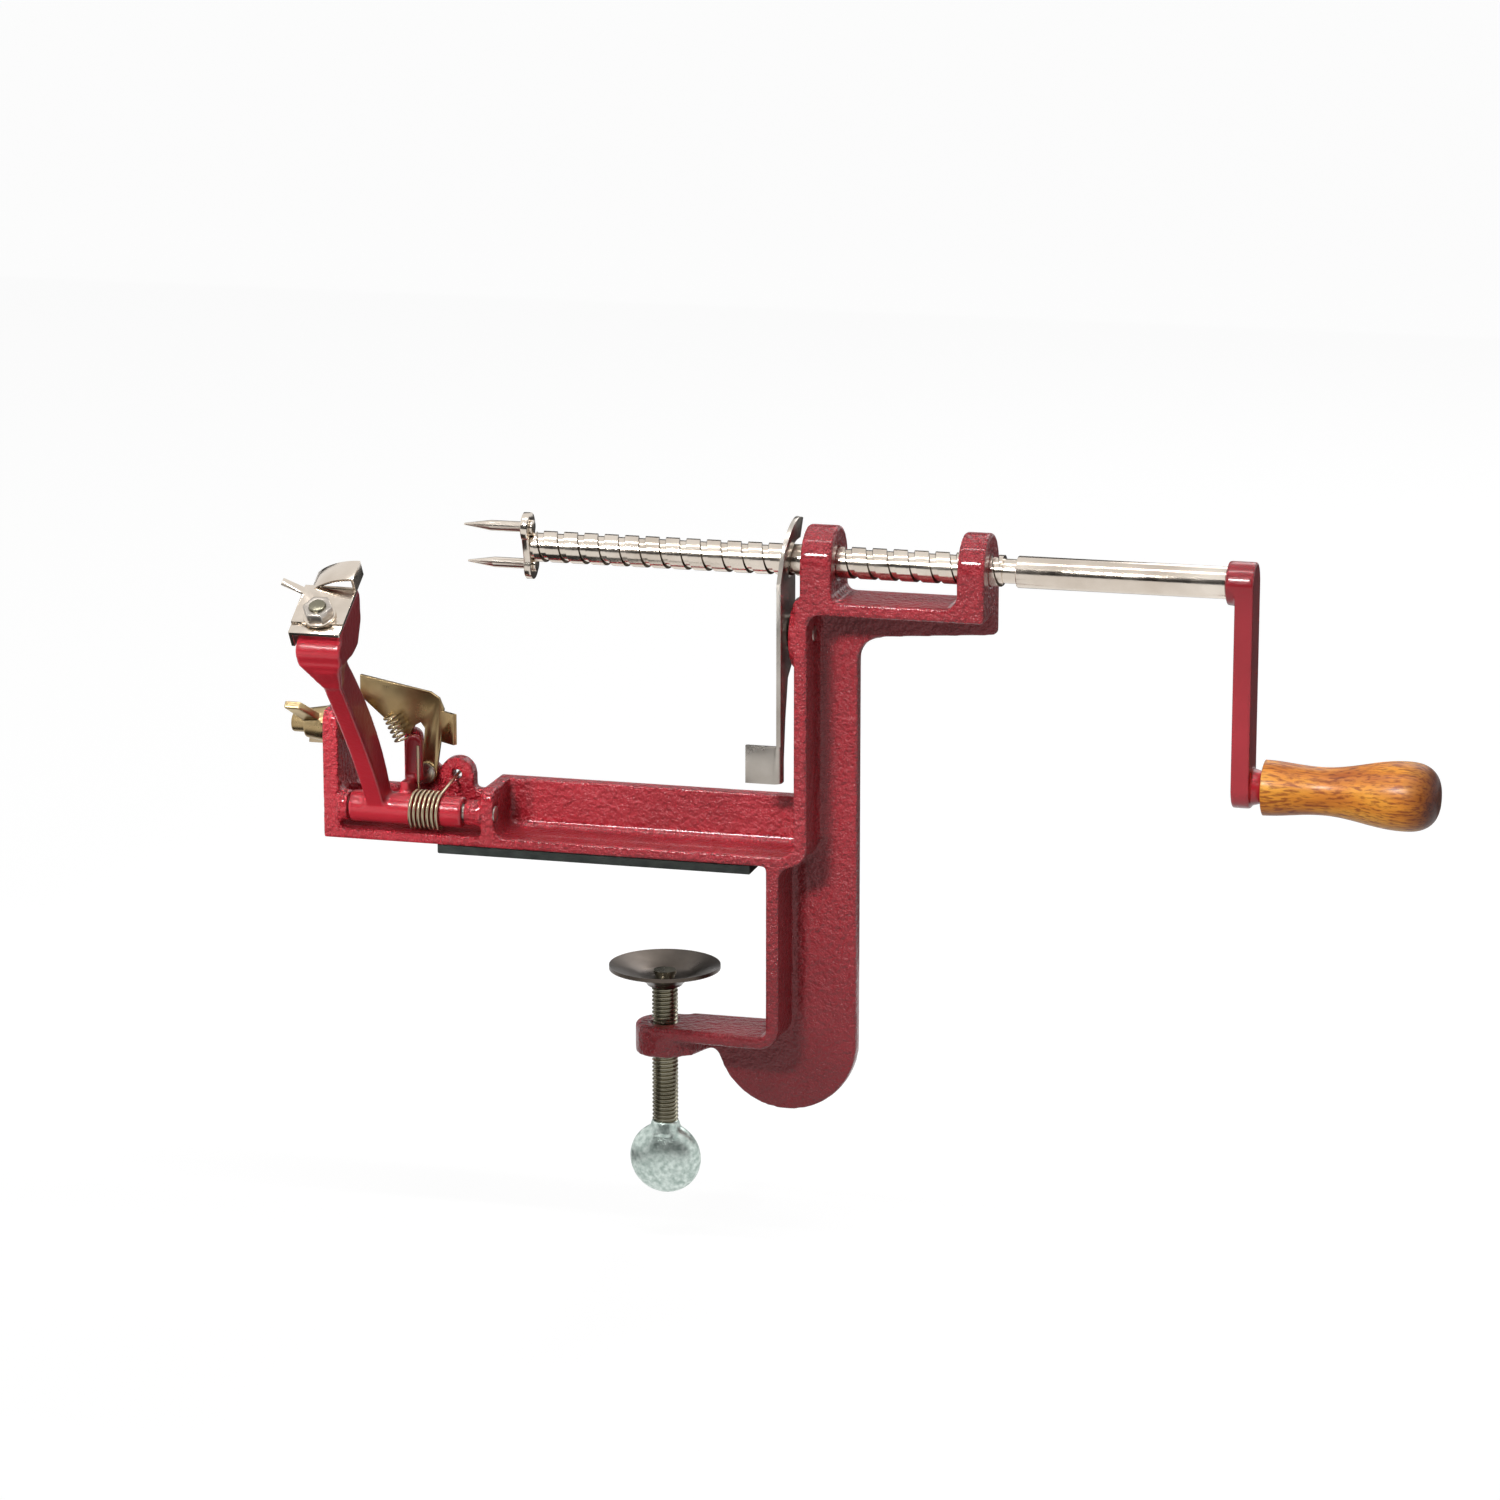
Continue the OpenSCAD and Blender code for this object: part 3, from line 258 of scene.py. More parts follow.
# %% Dark rubber
def dark_rubber():
    material, tree, shader = finish_base("dark_rubber", Roughness=0.82)
    drive(tree, shader, "Base Color", ramp(
        tree, noise(tree, scale=260, detail=4),
        (0.3, (0.012, 0.016, 0.014)), (0.7, (0.030, 0.036, 0.032)),
    ))
    bump(tree, shader, noise(tree, scale=1100, detail=2), strength=0.3, depth=0.0003)
    return material


RUBBER = dark_rubber()
print("finishes:", len(bpy.data.materials))

# %% [markdown]
# Every piece follows its CAD solid. It could be built on that object itself, but the CAD stays as
# it is, so a remodelled piece begins as a copy or as a new mesh. A copy is welded first, since
# the imported mesh has separate corners for each face.


# %% Helpers for pieces
def show(obj, body, material, slot, *nodes):
    """Gives a piece its finish, the nodes it stands for and the body it rides on. The slot is not
    used.
    """
    obj.data.materials.clear()
    obj.data.materials.append(material)
    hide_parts(*nodes)
    if body:
        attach(obj, body)
    print(obj.name, "-", len(obj.data.polygons), "faces")
    return obj


def from_bmesh(name, mesh):
    data = bpy.data.meshes.new(name)
    bmesh.ops.recalc_face_normals(mesh, faces=mesh.faces)
    mesh.to_mesh(data)
    mesh.free()
    obj = bpy.data.objects.new(name, data)
    bpy.context.scene.collection.objects.link(obj)
    return obj


WELD_DIST, FLAT_ANGLE = 0.002 * MM, math.radians(0.5)


def welded_copy(node, name):
    mesh = bmesh.new()
    mesh.from_mesh(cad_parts[node].data)
    bmesh.ops.remove_doubles(mesh, verts=mesh.verts, dist=WELD_DIST)
    bmesh.ops.dissolve_limit(mesh, angle_limit=FLAT_ANGLE, verts=mesh.verts, edges=mesh.edges)
    return from_bmesh(name, mesh)


def bake_modifiers(obj):
    state = bpy.context.evaluated_depsgraph_get()
    data = bpy.data.meshes.new_from_object(obj.evaluated_get(state))
    obj.modifiers.clear()
    obj.data = data


# %% [markdown]
# Cast iron has no sharp edges. A bevel could round them, but it needs clean edge loops, which a
# drilled and joined casting doesn't have. So a voxel remesh turns the copy into an even net of
# small squares, and a few rounds of smoothing melt every edge and inner corner, as the mould and
# the enamel do.


# %% Helpers for castings
def melt(obj, voxel, rounds):
    remesh = obj.modifiers.new("voxels", "REMESH")
    remesh.mode = "VOXEL"
    remesh.voxel_size = voxel * MM
    smooth = obj.modifiers.new("melt", "SMOOTH")
    smooth.factor = 0.5
    smooth.iterations = rounds
    bake_modifiers(obj)
    obj.data.shade_smooth()


def cast(node, name, body, material, slot, voxel, rounds, joined=None, cutter=None):
    """joined is a mesh that becomes part of the casting, and cutter a piece that is cut away."""
    obj = welded_copy(node, name)
    if cutter:
        cut = obj.modifiers.new("round corner", "BOOLEAN")
        cut.object, cut.solver = cutter, "EXACT"
        bake_modifiers(obj)
        bpy.data.objects.remove(cutter)
    if joined:
        joined.from_mesh(obj.data)
        joined.to_mesh(obj.data)
        joined.free()
    melt(obj, voxel, rounds)
    return show(obj, body, material, slot, node)


# %% [markdown]
# Where walls of the frame meet, the mould leaves hollow fillets, and its outer corner under the
# base is round. More smoothing would hollow the corners too, but it would also eat the thin
# walls. So each fillet is a prism with one hollow side that is joined before the remesh. The
# round corner is the same shape, cut away instead.


# %% Helpers for fillets
def join_rings(mesh, rings):
    """Faces between each ring of points and the next, also where a ring is a single point."""
    for low, high in zip(rings, rings[1:]):
        for k in range(len(low)):
            after = (k + 1) % len(low)
            corners = list(dict.fromkeys((low[k], low[after], high[after], high[k])))
            if len(corners) > 2:
                mesh.faces.new(corners)


def prism(mesh, outline, low, high, place):
    """place turns a point of the outline and a height into x, y, z."""
    rings = [
        [mesh.verts.new(Vector(place(u, v, w)) * MM) for u, v in outline] for w in (low, high)
    ]
    for ring in rings:
        mesh.faces.new(ring)
    join_rings(mesh, rings)


def cove(x, z, radius, to_x, to_z, lap=0.4, steps=12):
    """Outline of a fillet in the corner x, z that opens towards the signs to_x, to_z."""
    turns = [math.pi / 2 * k / steps for k in range(steps + 1)]
    hollow = [
        (x + to_x * radius * (1 - math.sin(t)), z + to_z * radius * (1 - math.cos(t)))
        for t in turns
    ]
    inside_x, inside_z = x - to_x * lap, z - to_z * lap
    return hollow + [
        (inside_x, z + to_z * radius), (inside_x, inside_z), (x + to_x * radius, inside_z)
    ]


def across(x, z, y):
    return x, y, z


def upright(x, y, z):
    return x, y, z


def lengthways(y, z, x):
    return x, y, z


# %% [markdown]
# The frame is one heavy casting: base, end plate, column, beam with two bearing lugs, and the bow
# of the clamp. Its CAD solid has all of these walls. A sculpted copy could round them by hand,
# but the fillets have known places, so they come from a table of corners: across the casting,
# then along the column, the beam and the web.

# %% Fillets of the frame
FRONT_Y, WEB_Y, BACK_Y = -11.0, 6.0, 11.0
BASE_TOP, PAD_T, BEAM_TOP = 6.2, 3.0, 84.7
END_IN, BULK_IN, COLUMN_X, RIB = -80.4, -30.9, 62.8, 4.0
LEFT_LUG_X, RIGHT_LUG_X = 74.1, 112.0
fillets = bmesh.new()
for x, z, radius, to_x, back in (
    (END_IN, BASE_TOP, 2.0, 1, WEB_Y),
    (BULK_IN, BASE_TOP, 3.0, 1, WEB_Y),
    (COLUMN_X, BASE_TOP, 4.5, -1, WEB_Y),
    (LEFT_LUG_X, BEAM_TOP, 2.5, 1, BACK_Y),
    (RIGHT_LUG_X, BEAM_TOP, 4.0, -1, BACK_Y),
):
    prism(fillets, cove(x, z, radius, to_x, 1), FRONT_Y, back, across)

JAW_LOW, JAW_TOP, GUSSET_DROP = -60.0, -50.5, 0.5
GUSSET_BACK = WEB_Y + 0.4
BOSS_GUSSET = [(24.0, -7.2), (29.4, -3.6), (33.0, GUSSET_BACK), (20.0, GUSSET_BACK)]
prism(fillets, BOSS_GUSSET, JAW_LOW, JAW_TOP - GUSSET_DROP, upright)

COLUMN_COVE_R, COLUMN_COVE_LOW = 5.0, 9.0
BEAM_COVE_R, WEB_COVE_R = 3.0, 3.0
RIB_RIGHT, BEAM_LOW = COLUMN_X + RIB, BEAM_TOP - RIB
prism(
    fillets, cove(RIB_RIGHT, WEB_Y, COLUMN_COVE_R, 1, -1), COLUMN_COVE_LOW, BEAM_LOW, upright
)
prism(fillets, cove(WEB_Y, BEAM_LOW, BEAM_COVE_R, -1, -1), RIB_RIGHT, RIGHT_LUG_X, lengthways)
prism(fillets, cove(WEB_Y, BASE_TOP, WEB_COVE_R, -1, 1), BULK_IN, COLUMN_X, lengthways)
print("fillets:", len(fillets.faces), "faces")

# %% [markdown]
# The fillets, the CAD copy and the cut for the round corner become one iron frame. Smoothing
# narrows its bores, and a second cut could open them again, but it would leave sharp rims. So the
# points inside each bore are pushed out to its radius.


# %% Iron frame
def ream(obj, axis, place, radius, low, high):
    """Opens a bore to its radius again, because smoothing narrows it."""
    k = "XYZ".index(axis)
    for vertex in obj.data.vertices:
        reach = vertex.co / MM - Vector(place)
        along, reach[k] = vertex.co[k] / MM, 0
        if low < along < high and reach.length < radius:
            moved = Vector(place) + reach.normalized() * radius
            moved[k] = along
            vertex.co = moved * MM


CORNER_R, SPARE = 6.0, 1.0
corner_mesh = bmesh.new()
prism(corner_mesh, cove(RIB_RIGHT, PAD_T, CORNER_R, -1, 1), FRONT_Y - SPARE, WEB_Y, across)
iron_frame = cast(
    "frame_casting", "iron_frame", "frame", ENAMEL, "red_enamel", voxel=0.6, rounds=10,
    joined=fillets, cutter=from_bmesh("corner", corner_mesh),
)
ROD_AXIS_Z, ROD_BORE_R, BORE_LEFT, BORE_RIGHT = 95.0, 4.85, 62.1, 122.0
SCREW_AXIS_X, SCREW_BORE_R = 19.8, 4.1
ream(iron_frame, "X", (0, 0, ROD_AXIS_Z), ROD_BORE_R, BORE_LEFT, BORE_RIGHT)
ream(iron_frame, "Z", (SCREW_AXIS_X, 0, 0), SCREW_BORE_R, JAW_LOW - SPARE, JAW_TOP + SPARE)

# %% [markdown]
# The peeling arm is a smoother casting. Its head grows out of the shank through a soft neck, and
# the CAD has a plain flare there. A sculpted neck would be hard to repeat, so the hull of ten
# points, set in the head's own tilted axes, is joined before the remesh and melts into both.

# %% Peeling arm
HEAD_Y, HEAD_Z, HEAD_TILT = -50.7, 81.35, 32
holder_low, holder_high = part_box("blade_holder")
head_x = (holder_low.x + holder_high.x) / 2 / MM
head_tilt = Matrix.Rotation(math.radians(HEAD_TILT), 4, "X")
to_head = Matrix.Translation((head_x, HEAD_Y, HEAD_Z)) @ head_tilt
neck = bmesh.new()
for left, right, y, z in (
    (-6.3, 7.5, -11.6, -7.4),
    (-6.3, 7.5, -7.0, -10.0),
    (-5.9, 7.1, -12.3, -9.4),
    (-0.7, 5.1, -11.2, -19.5),
    (-0.7, 5.1, -8.0, -19.5),
):
    for x in (left, right):
        neck.verts.new(to_head @ Vector((x, y, z)) * MM)
bmesh.ops.convex_hull(neck, input=neck.verts)
cast("peel_arm", "iron_arm", "arm", SMOOTH_ENAMEL, "red_enamel", voxel=0.4, rounds=26, joined=neck)

# %% [markdown]
# The crank is a flat casting. Enamel closes the bore over the rod's end, and a low shoulder keeps
# the wooden grip off the iron. Both could be pieces of their own, but on the real crank they are
# one skin with it, so a plug and a short cone are joined before the remesh.


# %% Crank
def bar(mesh, start, end, radius, end_radius=None, height=0.0, sides=48):
    """Adds a round bar along X to a mesh, plain or tapered, in mm."""
    place = Matrix.Translation(((start + end) / 2 * MM, 0, height * MM))
    bmesh.ops.create_cone(
        mesh, cap_ends=True, segments=sides, radius1=radius * MM,
        radius2=(end_radius or radius) * MM, depth=(end - start) * MM,
        matrix=place @ Matrix.Rotation(math.pi / 2, 4, "Y"),
    )


CRANK_RIGHT, CRANK_SIDES = 198.9, 32
PLUG_T, PLUG_R = 2.0, 4.0
SHOULDER_LEN, SHOULDER_R, SHOULDER_Z, SHOULDER_LAP = 2.4, (5.6, 5.1), 34.5, 0.3
trim = bmesh.new()
bar(trim, CRANK_RIGHT - PLUG_T, CRANK_RIGHT, PLUG_R, height=ROD_AXIS_Z, sides=CRANK_SIDES)
shoulder_start = CRANK_RIGHT - SHOULDER_LAP
bar(
    trim, shoulder_start, shoulder_start + SHOULDER_LEN, *SHOULDER_R,
    height=SHOULDER_Z, sides=CRANK_SIDES,
)
cast(
    "crank_arm", "iron_crank", "crank", SMOOTH_ENAMEL, "red_enamel",
    voxel=0.4, rounds=12, joined=trim,
)

# %% [markdown]
# The thumb knob is forged on the screw: a ball pressed flat on two sides, with a soft neck. A
# turned profile could give a ball or a disc, but not one pressed flat. So a flattened sphere and
# a cone are joined by the same remesh as the castings.

# %% Thumb knob
knob_low, knob_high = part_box("clamp_knob")
KNOB_R = (knob_high.x - knob_low.x) / 2
KNOB_HALF_T, KNOB_SIDES = 6.0, 48
knob_centre = Vector(((knob_low.x + knob_high.x) / 2, 0, knob_low.z + KNOB_R))
pressed = Matrix.Diagonal((KNOB_R, KNOB_HALF_T * MM, KNOB_R, 1))
knob_mesh = bmesh.new()
bmesh.ops.create_uvsphere(
    knob_mesh, u_segments=KNOB_SIDES, v_segments=32, radius=1,
    matrix=Matrix.Translation(knob_centre) @ pressed,
)
KNOB_NECK_R, NECK_SPREAD, NECK_LOW = 4.2, 1.2, 0.72
neck_len = knob_high.z - knob_centre.z - NECK_LOW * KNOB_R
bmesh.ops.create_cone(
    knob_mesh, cap_ends=True, segments=KNOB_SIDES, radius1=KNOB_NECK_R * NECK_SPREAD * MM,
    radius2=KNOB_NECK_R * MM, depth=neck_len,
    matrix=Matrix.Translation((knob_centre.x, 0, knob_high.z - neck_len / 2)),
)
knob = from_bmesh("thumb_knob", knob_mesh)
melt(knob, voxel=0.4, rounds=12)
show(knob, "clamp_spin", ZINC, "dull_zinc", "clamp_knob")

# %% [markdown]
# The wing nut is a small casting too: a cone with two wings, plated yellow. Bevelled edges would
# look stamped, so it takes the remesh of the castings, with a finer net and less smoothing.

# %% Wing nut
cast("wing_nut", "winged_nut", "wing_spin", GOLD, "gold_zinc", voxel=0.3, rounds=6)

# %% [markdown]
# Sheet parts, washers, nuts and pins are cut, stamped or turned, and the rubber strip is cut from
# a sheet. They keep crisp edges with a tiny break that catches the light. A remesh would melt
# that, and the CAD edges are clean here, so a narrow bevel on all sharp edges does it.


# %% Stamped and cut pieces
def shade(obj, sharp_angle):
    """Smooth shading, with a hard line along edges that turn by more than the angle."""
    obj.data.shade_smooth()
    obj.data.set_sharp_from_angle(angle=math.radians(sharp_angle))


def stamped(node, name, body, material, slot, break_mm):
    obj = welded_copy(node, name)
    bevel = obj.modifiers.new("edge break", "BEVEL")
    bevel.width = break_mm * MM
    bevel.segments = 2
    bevel.limit_method = "ANGLE"
    bevel.angle_limit = math.radians(35)
    bake_modifiers(obj)
    shade(obj, sharp_angle=32)
    show(obj, body, material, slot, node)


for stamping in (
    ("release_lever", "lever_sheet", "lever", SHEET, "steel", 0.2),
    ("latch_plate", "latch_sheet", "latch", GOLD, "gold_zinc", 0.2),
    ("blade_holder", "blade_clip", "arm", BRIGHT, "bright_plate", 0.2),
    ("peel_blade", "hoop_blade", "arm", BRIGHT, "steel", 0.12),
    ("blade_nut", "blade_hex_nut", "arm", SHEET, "steel", 0.3),
    ("blade_washer", "blade_flat_washer", "arm", BRIGHT, "steel", 0.2),
    ("blade_stud", "blade_threaded_stud", "arm", SCREW, "gold_zinc", 0.4),
    ("fork_plate", "fork_sheet", "crank", BRIGHT, "bright_plate", 0.3),
    ("fork_prongs", "fork_spikes", "crank", BRIGHT, "bright_plate", 0.15),
    ("rod_collar", "rod_ring", "crank", BRIGHT, "bright_plate", 0.2),
    ("shank_sleeve", "rod_sleeve", "rod_carrier", BRIGHT, "bright_plate", 0.4),
    ("slicer_bolt", "round_head_bolt", "frame", GOLD, "gold_zinc", 0.6),
    ("wing_washer", "bolt_washer", "wing_slide", SHEET, "steel", 0.2),
    ("lever_rivet", "lever_pin", "frame", SHEET, "steel", 0.5),
    ("lever_washer", "lever_ring", "frame", SHEET, "steel", 0.2),
    ("latch_rivet", "latch_pin", "frame", SHEET, "steel", 0.4),
    ("arm_shaft", "arm_axle", "frame", SHEET, "steel", 0.3),
    ("grip_pin", "grip_axle", "crank", SHEET, "steel", 0.3),
    ("table_pad", "rubber_strip", "frame", RUBBER, "rubber", 0.4),
):
    stamped(*stamping)

# %% [markdown]
# A screw thread is a groove that climbs one pitch in each turn. Rings stacked along the bar would
# look like a thread from afar, but they don't climb. So the mesh is a grid whose rows run along
# the helix, and the groove's edges stay clean. Rows past the ends are squeezed onto the end
# planes and welded away.


# %% Helper for threads
THREAD_WELD = 0.001 * MM


def threaded(start, end, pitch, groove_at, profile, columns):
    """Threaded bar along X. profile lists (offset from the groove's centre, radius), in mm."""
    shape = [(offset / pitch, radius) for offset, radius in profile]
    first_step, first_radius = shape[0]
    closed = shape[1:] + [(first_step + 1, first_radius)]

    def radius_at(turn):
        turn -= math.floor(turn - first_step)
        for (a, ra), (b, rb) in zip(shape, closed):
            if turn <= b:
                return ra + (rb - ra) * (turn - a) / (b - a)
        return first_radius

    first = math.floor((start - groove_at) / pitch) - 2
    last = math.ceil((end - groove_at) / pitch) + 1
    rows = [turn + step for turn in range(first, last + 1) for step, _ in shape]
    mesh = bmesh.new()
    grid = []
    for j in range(columns + 1):
        share = j / columns
        angle = 2 * math.pi * share
        line = []
        for row in rows:
            x = min(max(groove_at + pitch * (row + share), start), end)
            r = radius_at((x - groove_at) / pitch - share)
            point = Vector((x, r * math.cos(angle), r * math.sin(angle)))
            line.append(mesh.verts.new(point * MM))
        grid.append(line)
    for left, right in zip(grid, grid[1:]):
        for k in range(len(rows) - 1):
            mesh.faces.new((left[k], left[k + 1], right[k + 1], right[k]))
    bmesh.ops.remove_doubles(mesh, verts=mesh.verts, dist=THREAD_WELD)
    bmesh.ops.dissolve_degenerate(mesh, edges=mesh.edges, dist=THREAD_WELD)
    bmesh.ops.holes_fill(mesh, edges=[e for e in mesh.edges if e.is_boundary], sides=0)
    return mesh


# %% [markdown]
# The feed rod is bright plated steel with a shallow square groove. The groove could start
# anywhere, but the lever's tooth sits in it at rest, and that fixes its place. The rod is a hair
# thinner than its CAD solid, so that it clears the lever's edge at full tilt.

# %% Feed rod
rod_low, rod_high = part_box("feed_rod")
ROD_Z = (rod_low.z + rod_high.z) / 2 / MM
LEVER_ROOM = 0.03
ROD_R = (rod_high.z - rod_low.z) / 2 / MM - LEVER_ROOM
THREAD_START, THREAD_END = -19.4, 124.0
FEED_PITCH, GROOVE_DEPTH = 6.35, 0.7
TOOTH_X = 59.35
ROOT_R = ROD_R - GROOVE_DEPTH
GROOVE = [
    (-1.1, ROD_R), (-0.85, ROOT_R), (0.85, ROOT_R), (1.1, ROD_R), (1.4, ROD_R), (4.9, ROD_R)
]
rod_mesh = threaded(
    THREAD_START, THREAD_END, FEED_PITCH, TOOTH_X - FEED_PITCH / 2, GROOVE, columns=48
)
NECK_END, NECK_R, CORE_R, JOIN = 128.0, 3.65, 3.0, 0.5
bar(rod_mesh, rod_low.x / MM, THREAD_START + JOIN, CORE_R)
bar(rod_mesh, THREAD_END - JOIN, NECK_END, NECK_R)
bar(rod_mesh, NECK_END - JOIN, CRANK_RIGHT - PLUG_T, CORE_R)
bmesh.ops.translate(rod_mesh, verts=rod_mesh.verts, vec=(0, 0, ROD_Z * MM))
rod = from_bmesh("screw_rod", rod_mesh)
shade(rod, sharp_angle=35)
show(rod, "crank", BRIGHT, "bright_plate", "feed_rod")

# %% [markdown]
# The groove's flanks are painted dark as shade. The rod's finish could be mixed by distance from
# its axis, but the flanks are faces of their own, so they get a second finish: dark, worn and
# shiny.

# %% Painted shade in the groove
FLANK_EDGE = 0.1
# Painted shade: a dark second finish for the groove's flanks.
GROOVE_SHADE = metal("painted_groove_shade", (0.05, 0.037, 0.025), (0.12, 0.09, 0.06), roughness=0.25, spots=240)
rod.data.materials.append(GROOVE_SHADE)
for face in rod.data.polygons:
    reach = math.hypot(face.center.y / MM, face.center.z / MM - ROD_Z)
    on_flank = ROOT_R + FLANK_EDGE < reach < ROD_R - FLANK_EDGE
    if on_flank and THREAD_START < face.center.x / MM < THREAD_END:
        face.material_index = 1
print("dark flanks:", sum(face.material_index for face in rod.data.polygons), "faces")

# %% [markdown]
# The clamp screw has a fine metric thread and a thin tip that the disc turns on. A bump could
# fake so fine a thread, but the screw's outline would stay smooth. So it is made along X like the
# rod and then stood upright.

# %% Clamp screw
screw_low, screw_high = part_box("clamp_screw")
SCREW_X = (screw_low.x + screw_high.x) / 2 / MM
SCREW_R = (screw_high.x - screw_low.x) / 2 / MM
SCREW_PITCH, SCREW_DEPTH = 1.25, 0.62
SCREW_ROOT = SCREW_R - SCREW_DEPTH
SCREW_GROOVE = [
    (-0.62, SCREW_R), (-0.50, SCREW_R), (-0.08, SCREW_ROOT), (0.08, SCREW_ROOT), (0.50, SCREW_R)
]
TIP_LEN, TIP_R, CAP_T, CAP_LAP, CAP_R = 4.7, SCREW_R - 1.0, 1.0, 0.4, SCREW_R - 0.5
screw_top = screw_high.z / MM
tip_start = screw_top - TIP_LEN
screw_mesh = threaded(screw_low.z / MM, tip_start, SCREW_PITCH, 0, SCREW_GROOVE, columns=36)
bar(screw_mesh, tip_start - JOIN, screw_top - CAP_T + CAP_LAP, TIP_R)
bar(screw_mesh, screw_top - CAP_T, screw_top, CAP_R)
stand = Matrix.Translation((SCREW_X * MM, 0, 0)) @ Matrix.Rotation(-math.pi / 2, 4, "Y")
bmesh.ops.transform(screw_mesh, matrix=stand, verts=screw_mesh.verts)
screw = from_bmesh("threaded_screw", screw_mesh)
shade(screw, sharp_angle=50)
show(screw, "clamp_spin", SCREW, "dull_zinc", "clamp_screw")

# %% [markdown]
# The wooden grip and the dished disc are turned or pressed round an axis. A stack of cylinders
# and cones would show steps, so a profile of radius and height is swept round the axis instead.


# %% Helpers for turned pieces
def circle(sides):
    turns = [2 * math.pi * k / sides for k in range(sides)]
    return [(math.cos(turn), math.sin(turn)) for turn in turns]


def turned(name, profile, matrix, sides=96):
    """profile lists (radius, height) in mm, and matrix stands the Z axis where it belongs."""
    mesh = bmesh.new()
    rings = []
    for radius, height in profile:
        if radius == 0:
            rings.append([mesh.verts.new((0, 0, height * MM))] * sides)
            continue
        rings.append([
            mesh.verts.new((radius * c * MM, radius * s * MM, height * MM))
            for c, s in circle(sides)
        ])
    join_rings(mesh, rings)
    bmesh.ops.transform(mesh, matrix=matrix, verts=mesh.verts)
    obj = from_bmesh(name, mesh)
    shade(obj, sharp_angle=40)
    return obj


def ease(t):
    return (1 - math.cos(math.pi * t)) / 2


# %% [markdown]
# The grip swells from a narrow waist to a full round end, as the hand needs it. A spline could be
# drawn over it, but two cosine blends and a soft quarter of an ellipse hold the same outline in
# five numbers. The steps come closer together at the neck and at the end.

# %% Wooden grip
grip_low, grip_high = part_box("wood_grip")
GRIP_LEN = (grip_high.x - grip_low.x) / MM
GRIP_Z = (grip_low.z + grip_high.z) / 2 / MM
GRIP_R = (grip_high.z - grip_low.z) / 2 / MM
NECK_GRIP_R, WAIST_R = 8.2, 7.05
WAIST_AT, BELLY_AT = GRIP_LEN * 0.33, GRIP_LEN * 0.8
END_POWER = 2.6


def grip_radius(s):
    if s < WAIST_AT:
        return NECK_GRIP_R + (WAIST_R - NECK_GRIP_R) * ease(s / WAIST_AT)
    if s < BELLY_AT:
        return WAIST_R + (GRIP_R - WAIST_R) * ease((s - WAIST_AT) / (BELLY_AT - WAIST_AT))
    past = (s - BELLY_AT) / (GRIP_LEN - BELLY_AT)
    return GRIP_R * max(0.0, 1 - past ** END_POWER) ** (1 / END_POWER)


GRIP_STEPS, STEP_SPAN, RIM, RIM_FLAT = 64, 0.94, 0.25, 0.7
GRIP_BORE, BORE_END = 2.56, GRIP_LEN * 0.8
steps = [GRIP_LEN * ease(i / GRIP_STEPS * STEP_SPAN) / ease(STEP_SPAN) for i in range(GRIP_STEPS)]
grip_profile = [(0, BORE_END), (GRIP_BORE, BORE_END), (GRIP_BORE, 0), (NECK_GRIP_R - RIM_FLAT, 0)]
grip_profile += [(grip_radius(s) - (RIM if s == 0 else 0), max(s, RIM)) for s in steps]
grip_profile += [(grip_radius(GRIP_LEN * a), GRIP_LEN * a) for a in (0.994, 0.9985)]
grip_profile += [(0, GRIP_LEN)]
lay = Matrix.Translation((grip_low.x, 0, GRIP_Z * MM)) @ Matrix.Rotation(math.pi / 2, 4, "Y")
grip = turned("turned_grip", grip_profile, lay)
show(grip, "grip", WOOD, "oak", "wood_grip")

# %% [markdown]
# The clamp's disc is a thin pressed dish that flares out of its neck like a shallow trumpet. A
# cone would be too stiff a shape for it, so the height follows a power of the radius, and the
# upper side is the lower one moved up by the sheet's thickness.

# %% Clamp disc
disc_low, disc_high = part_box("clamp_disc")
DISC_R = (disc_high.x - disc_low.x) / 2 / MM
DISC_H = (disc_high.z - disc_low.z) / MM
NECK_DISC_R, DISC_T, DISC_BORE = 5.3, 1.2, 3.06
FLARE, FLARE_STEPS = 0.62, 24
HUB_TOP, HUB_CHAMFER, HUB_WIDTH = DISC_H * 0.36, 0.4, 2


def flare_height(r):
    return (DISC_H - DISC_T) * ((r - NECK_DISC_R) / (DISC_R - NECK_DISC_R)) ** FLARE


flare = [
    NECK_DISC_R + (DISC_R - NECK_DISC_R) * i / FLARE_STEPS for i in range(FLARE_STEPS + 1)
]
under = [(r, flare_height(r)) for r in flare]
over = [(r, flare_height(r) + DISC_T) for r in flare if r > NECK_DISC_R + HUB_WIDTH]
disc_profile = [(DISC_BORE, HUB_TOP), (DISC_BORE, 0)] + under + over[::-1]
disc_profile += [(NECK_DISC_R - HUB_CHAMFER, HUB_TOP + HUB_CHAMFER), (DISC_BORE, HUB_TOP)]
disc = turned("dished_disc", disc_profile, Matrix.Translation((SCREW_X * MM, 0, disc_low.z)))
show(disc, "clamp_slide", GUNMETAL, "gunmetal", "clamp_disc")

# %% [markdown]
# Both springs are round wire wound on a helix. A curve with a bevel could make the wire, but its
# rings twist at bends, so a ring of points is set square to the path at each of its points and
# the rings are joined.


# %% Helper for wire
def wire(name, path, axis, radius, sides=12):
    mesh = bmesh.new()
    rings = []
    for i, point in enumerate(path):
        way = (path[min(i + 1, len(path) - 1)] - path[max(i - 1, 0)]).normalized()
        side = way.cross(axis).normalized()
        rise = side.cross(way)
        rings.append([
            mesh.verts.new((point + radius * (c * side + s * rise)) * MM) for c, s in circle(sides)
        ])
    join_rings(mesh, rings)
    mesh.faces.new(rings[0])
    mesh.faces.new(rings[-1])
    obj = from_bmesh(name, mesh)
    shade(obj, sharp_angle=60)
    return obj
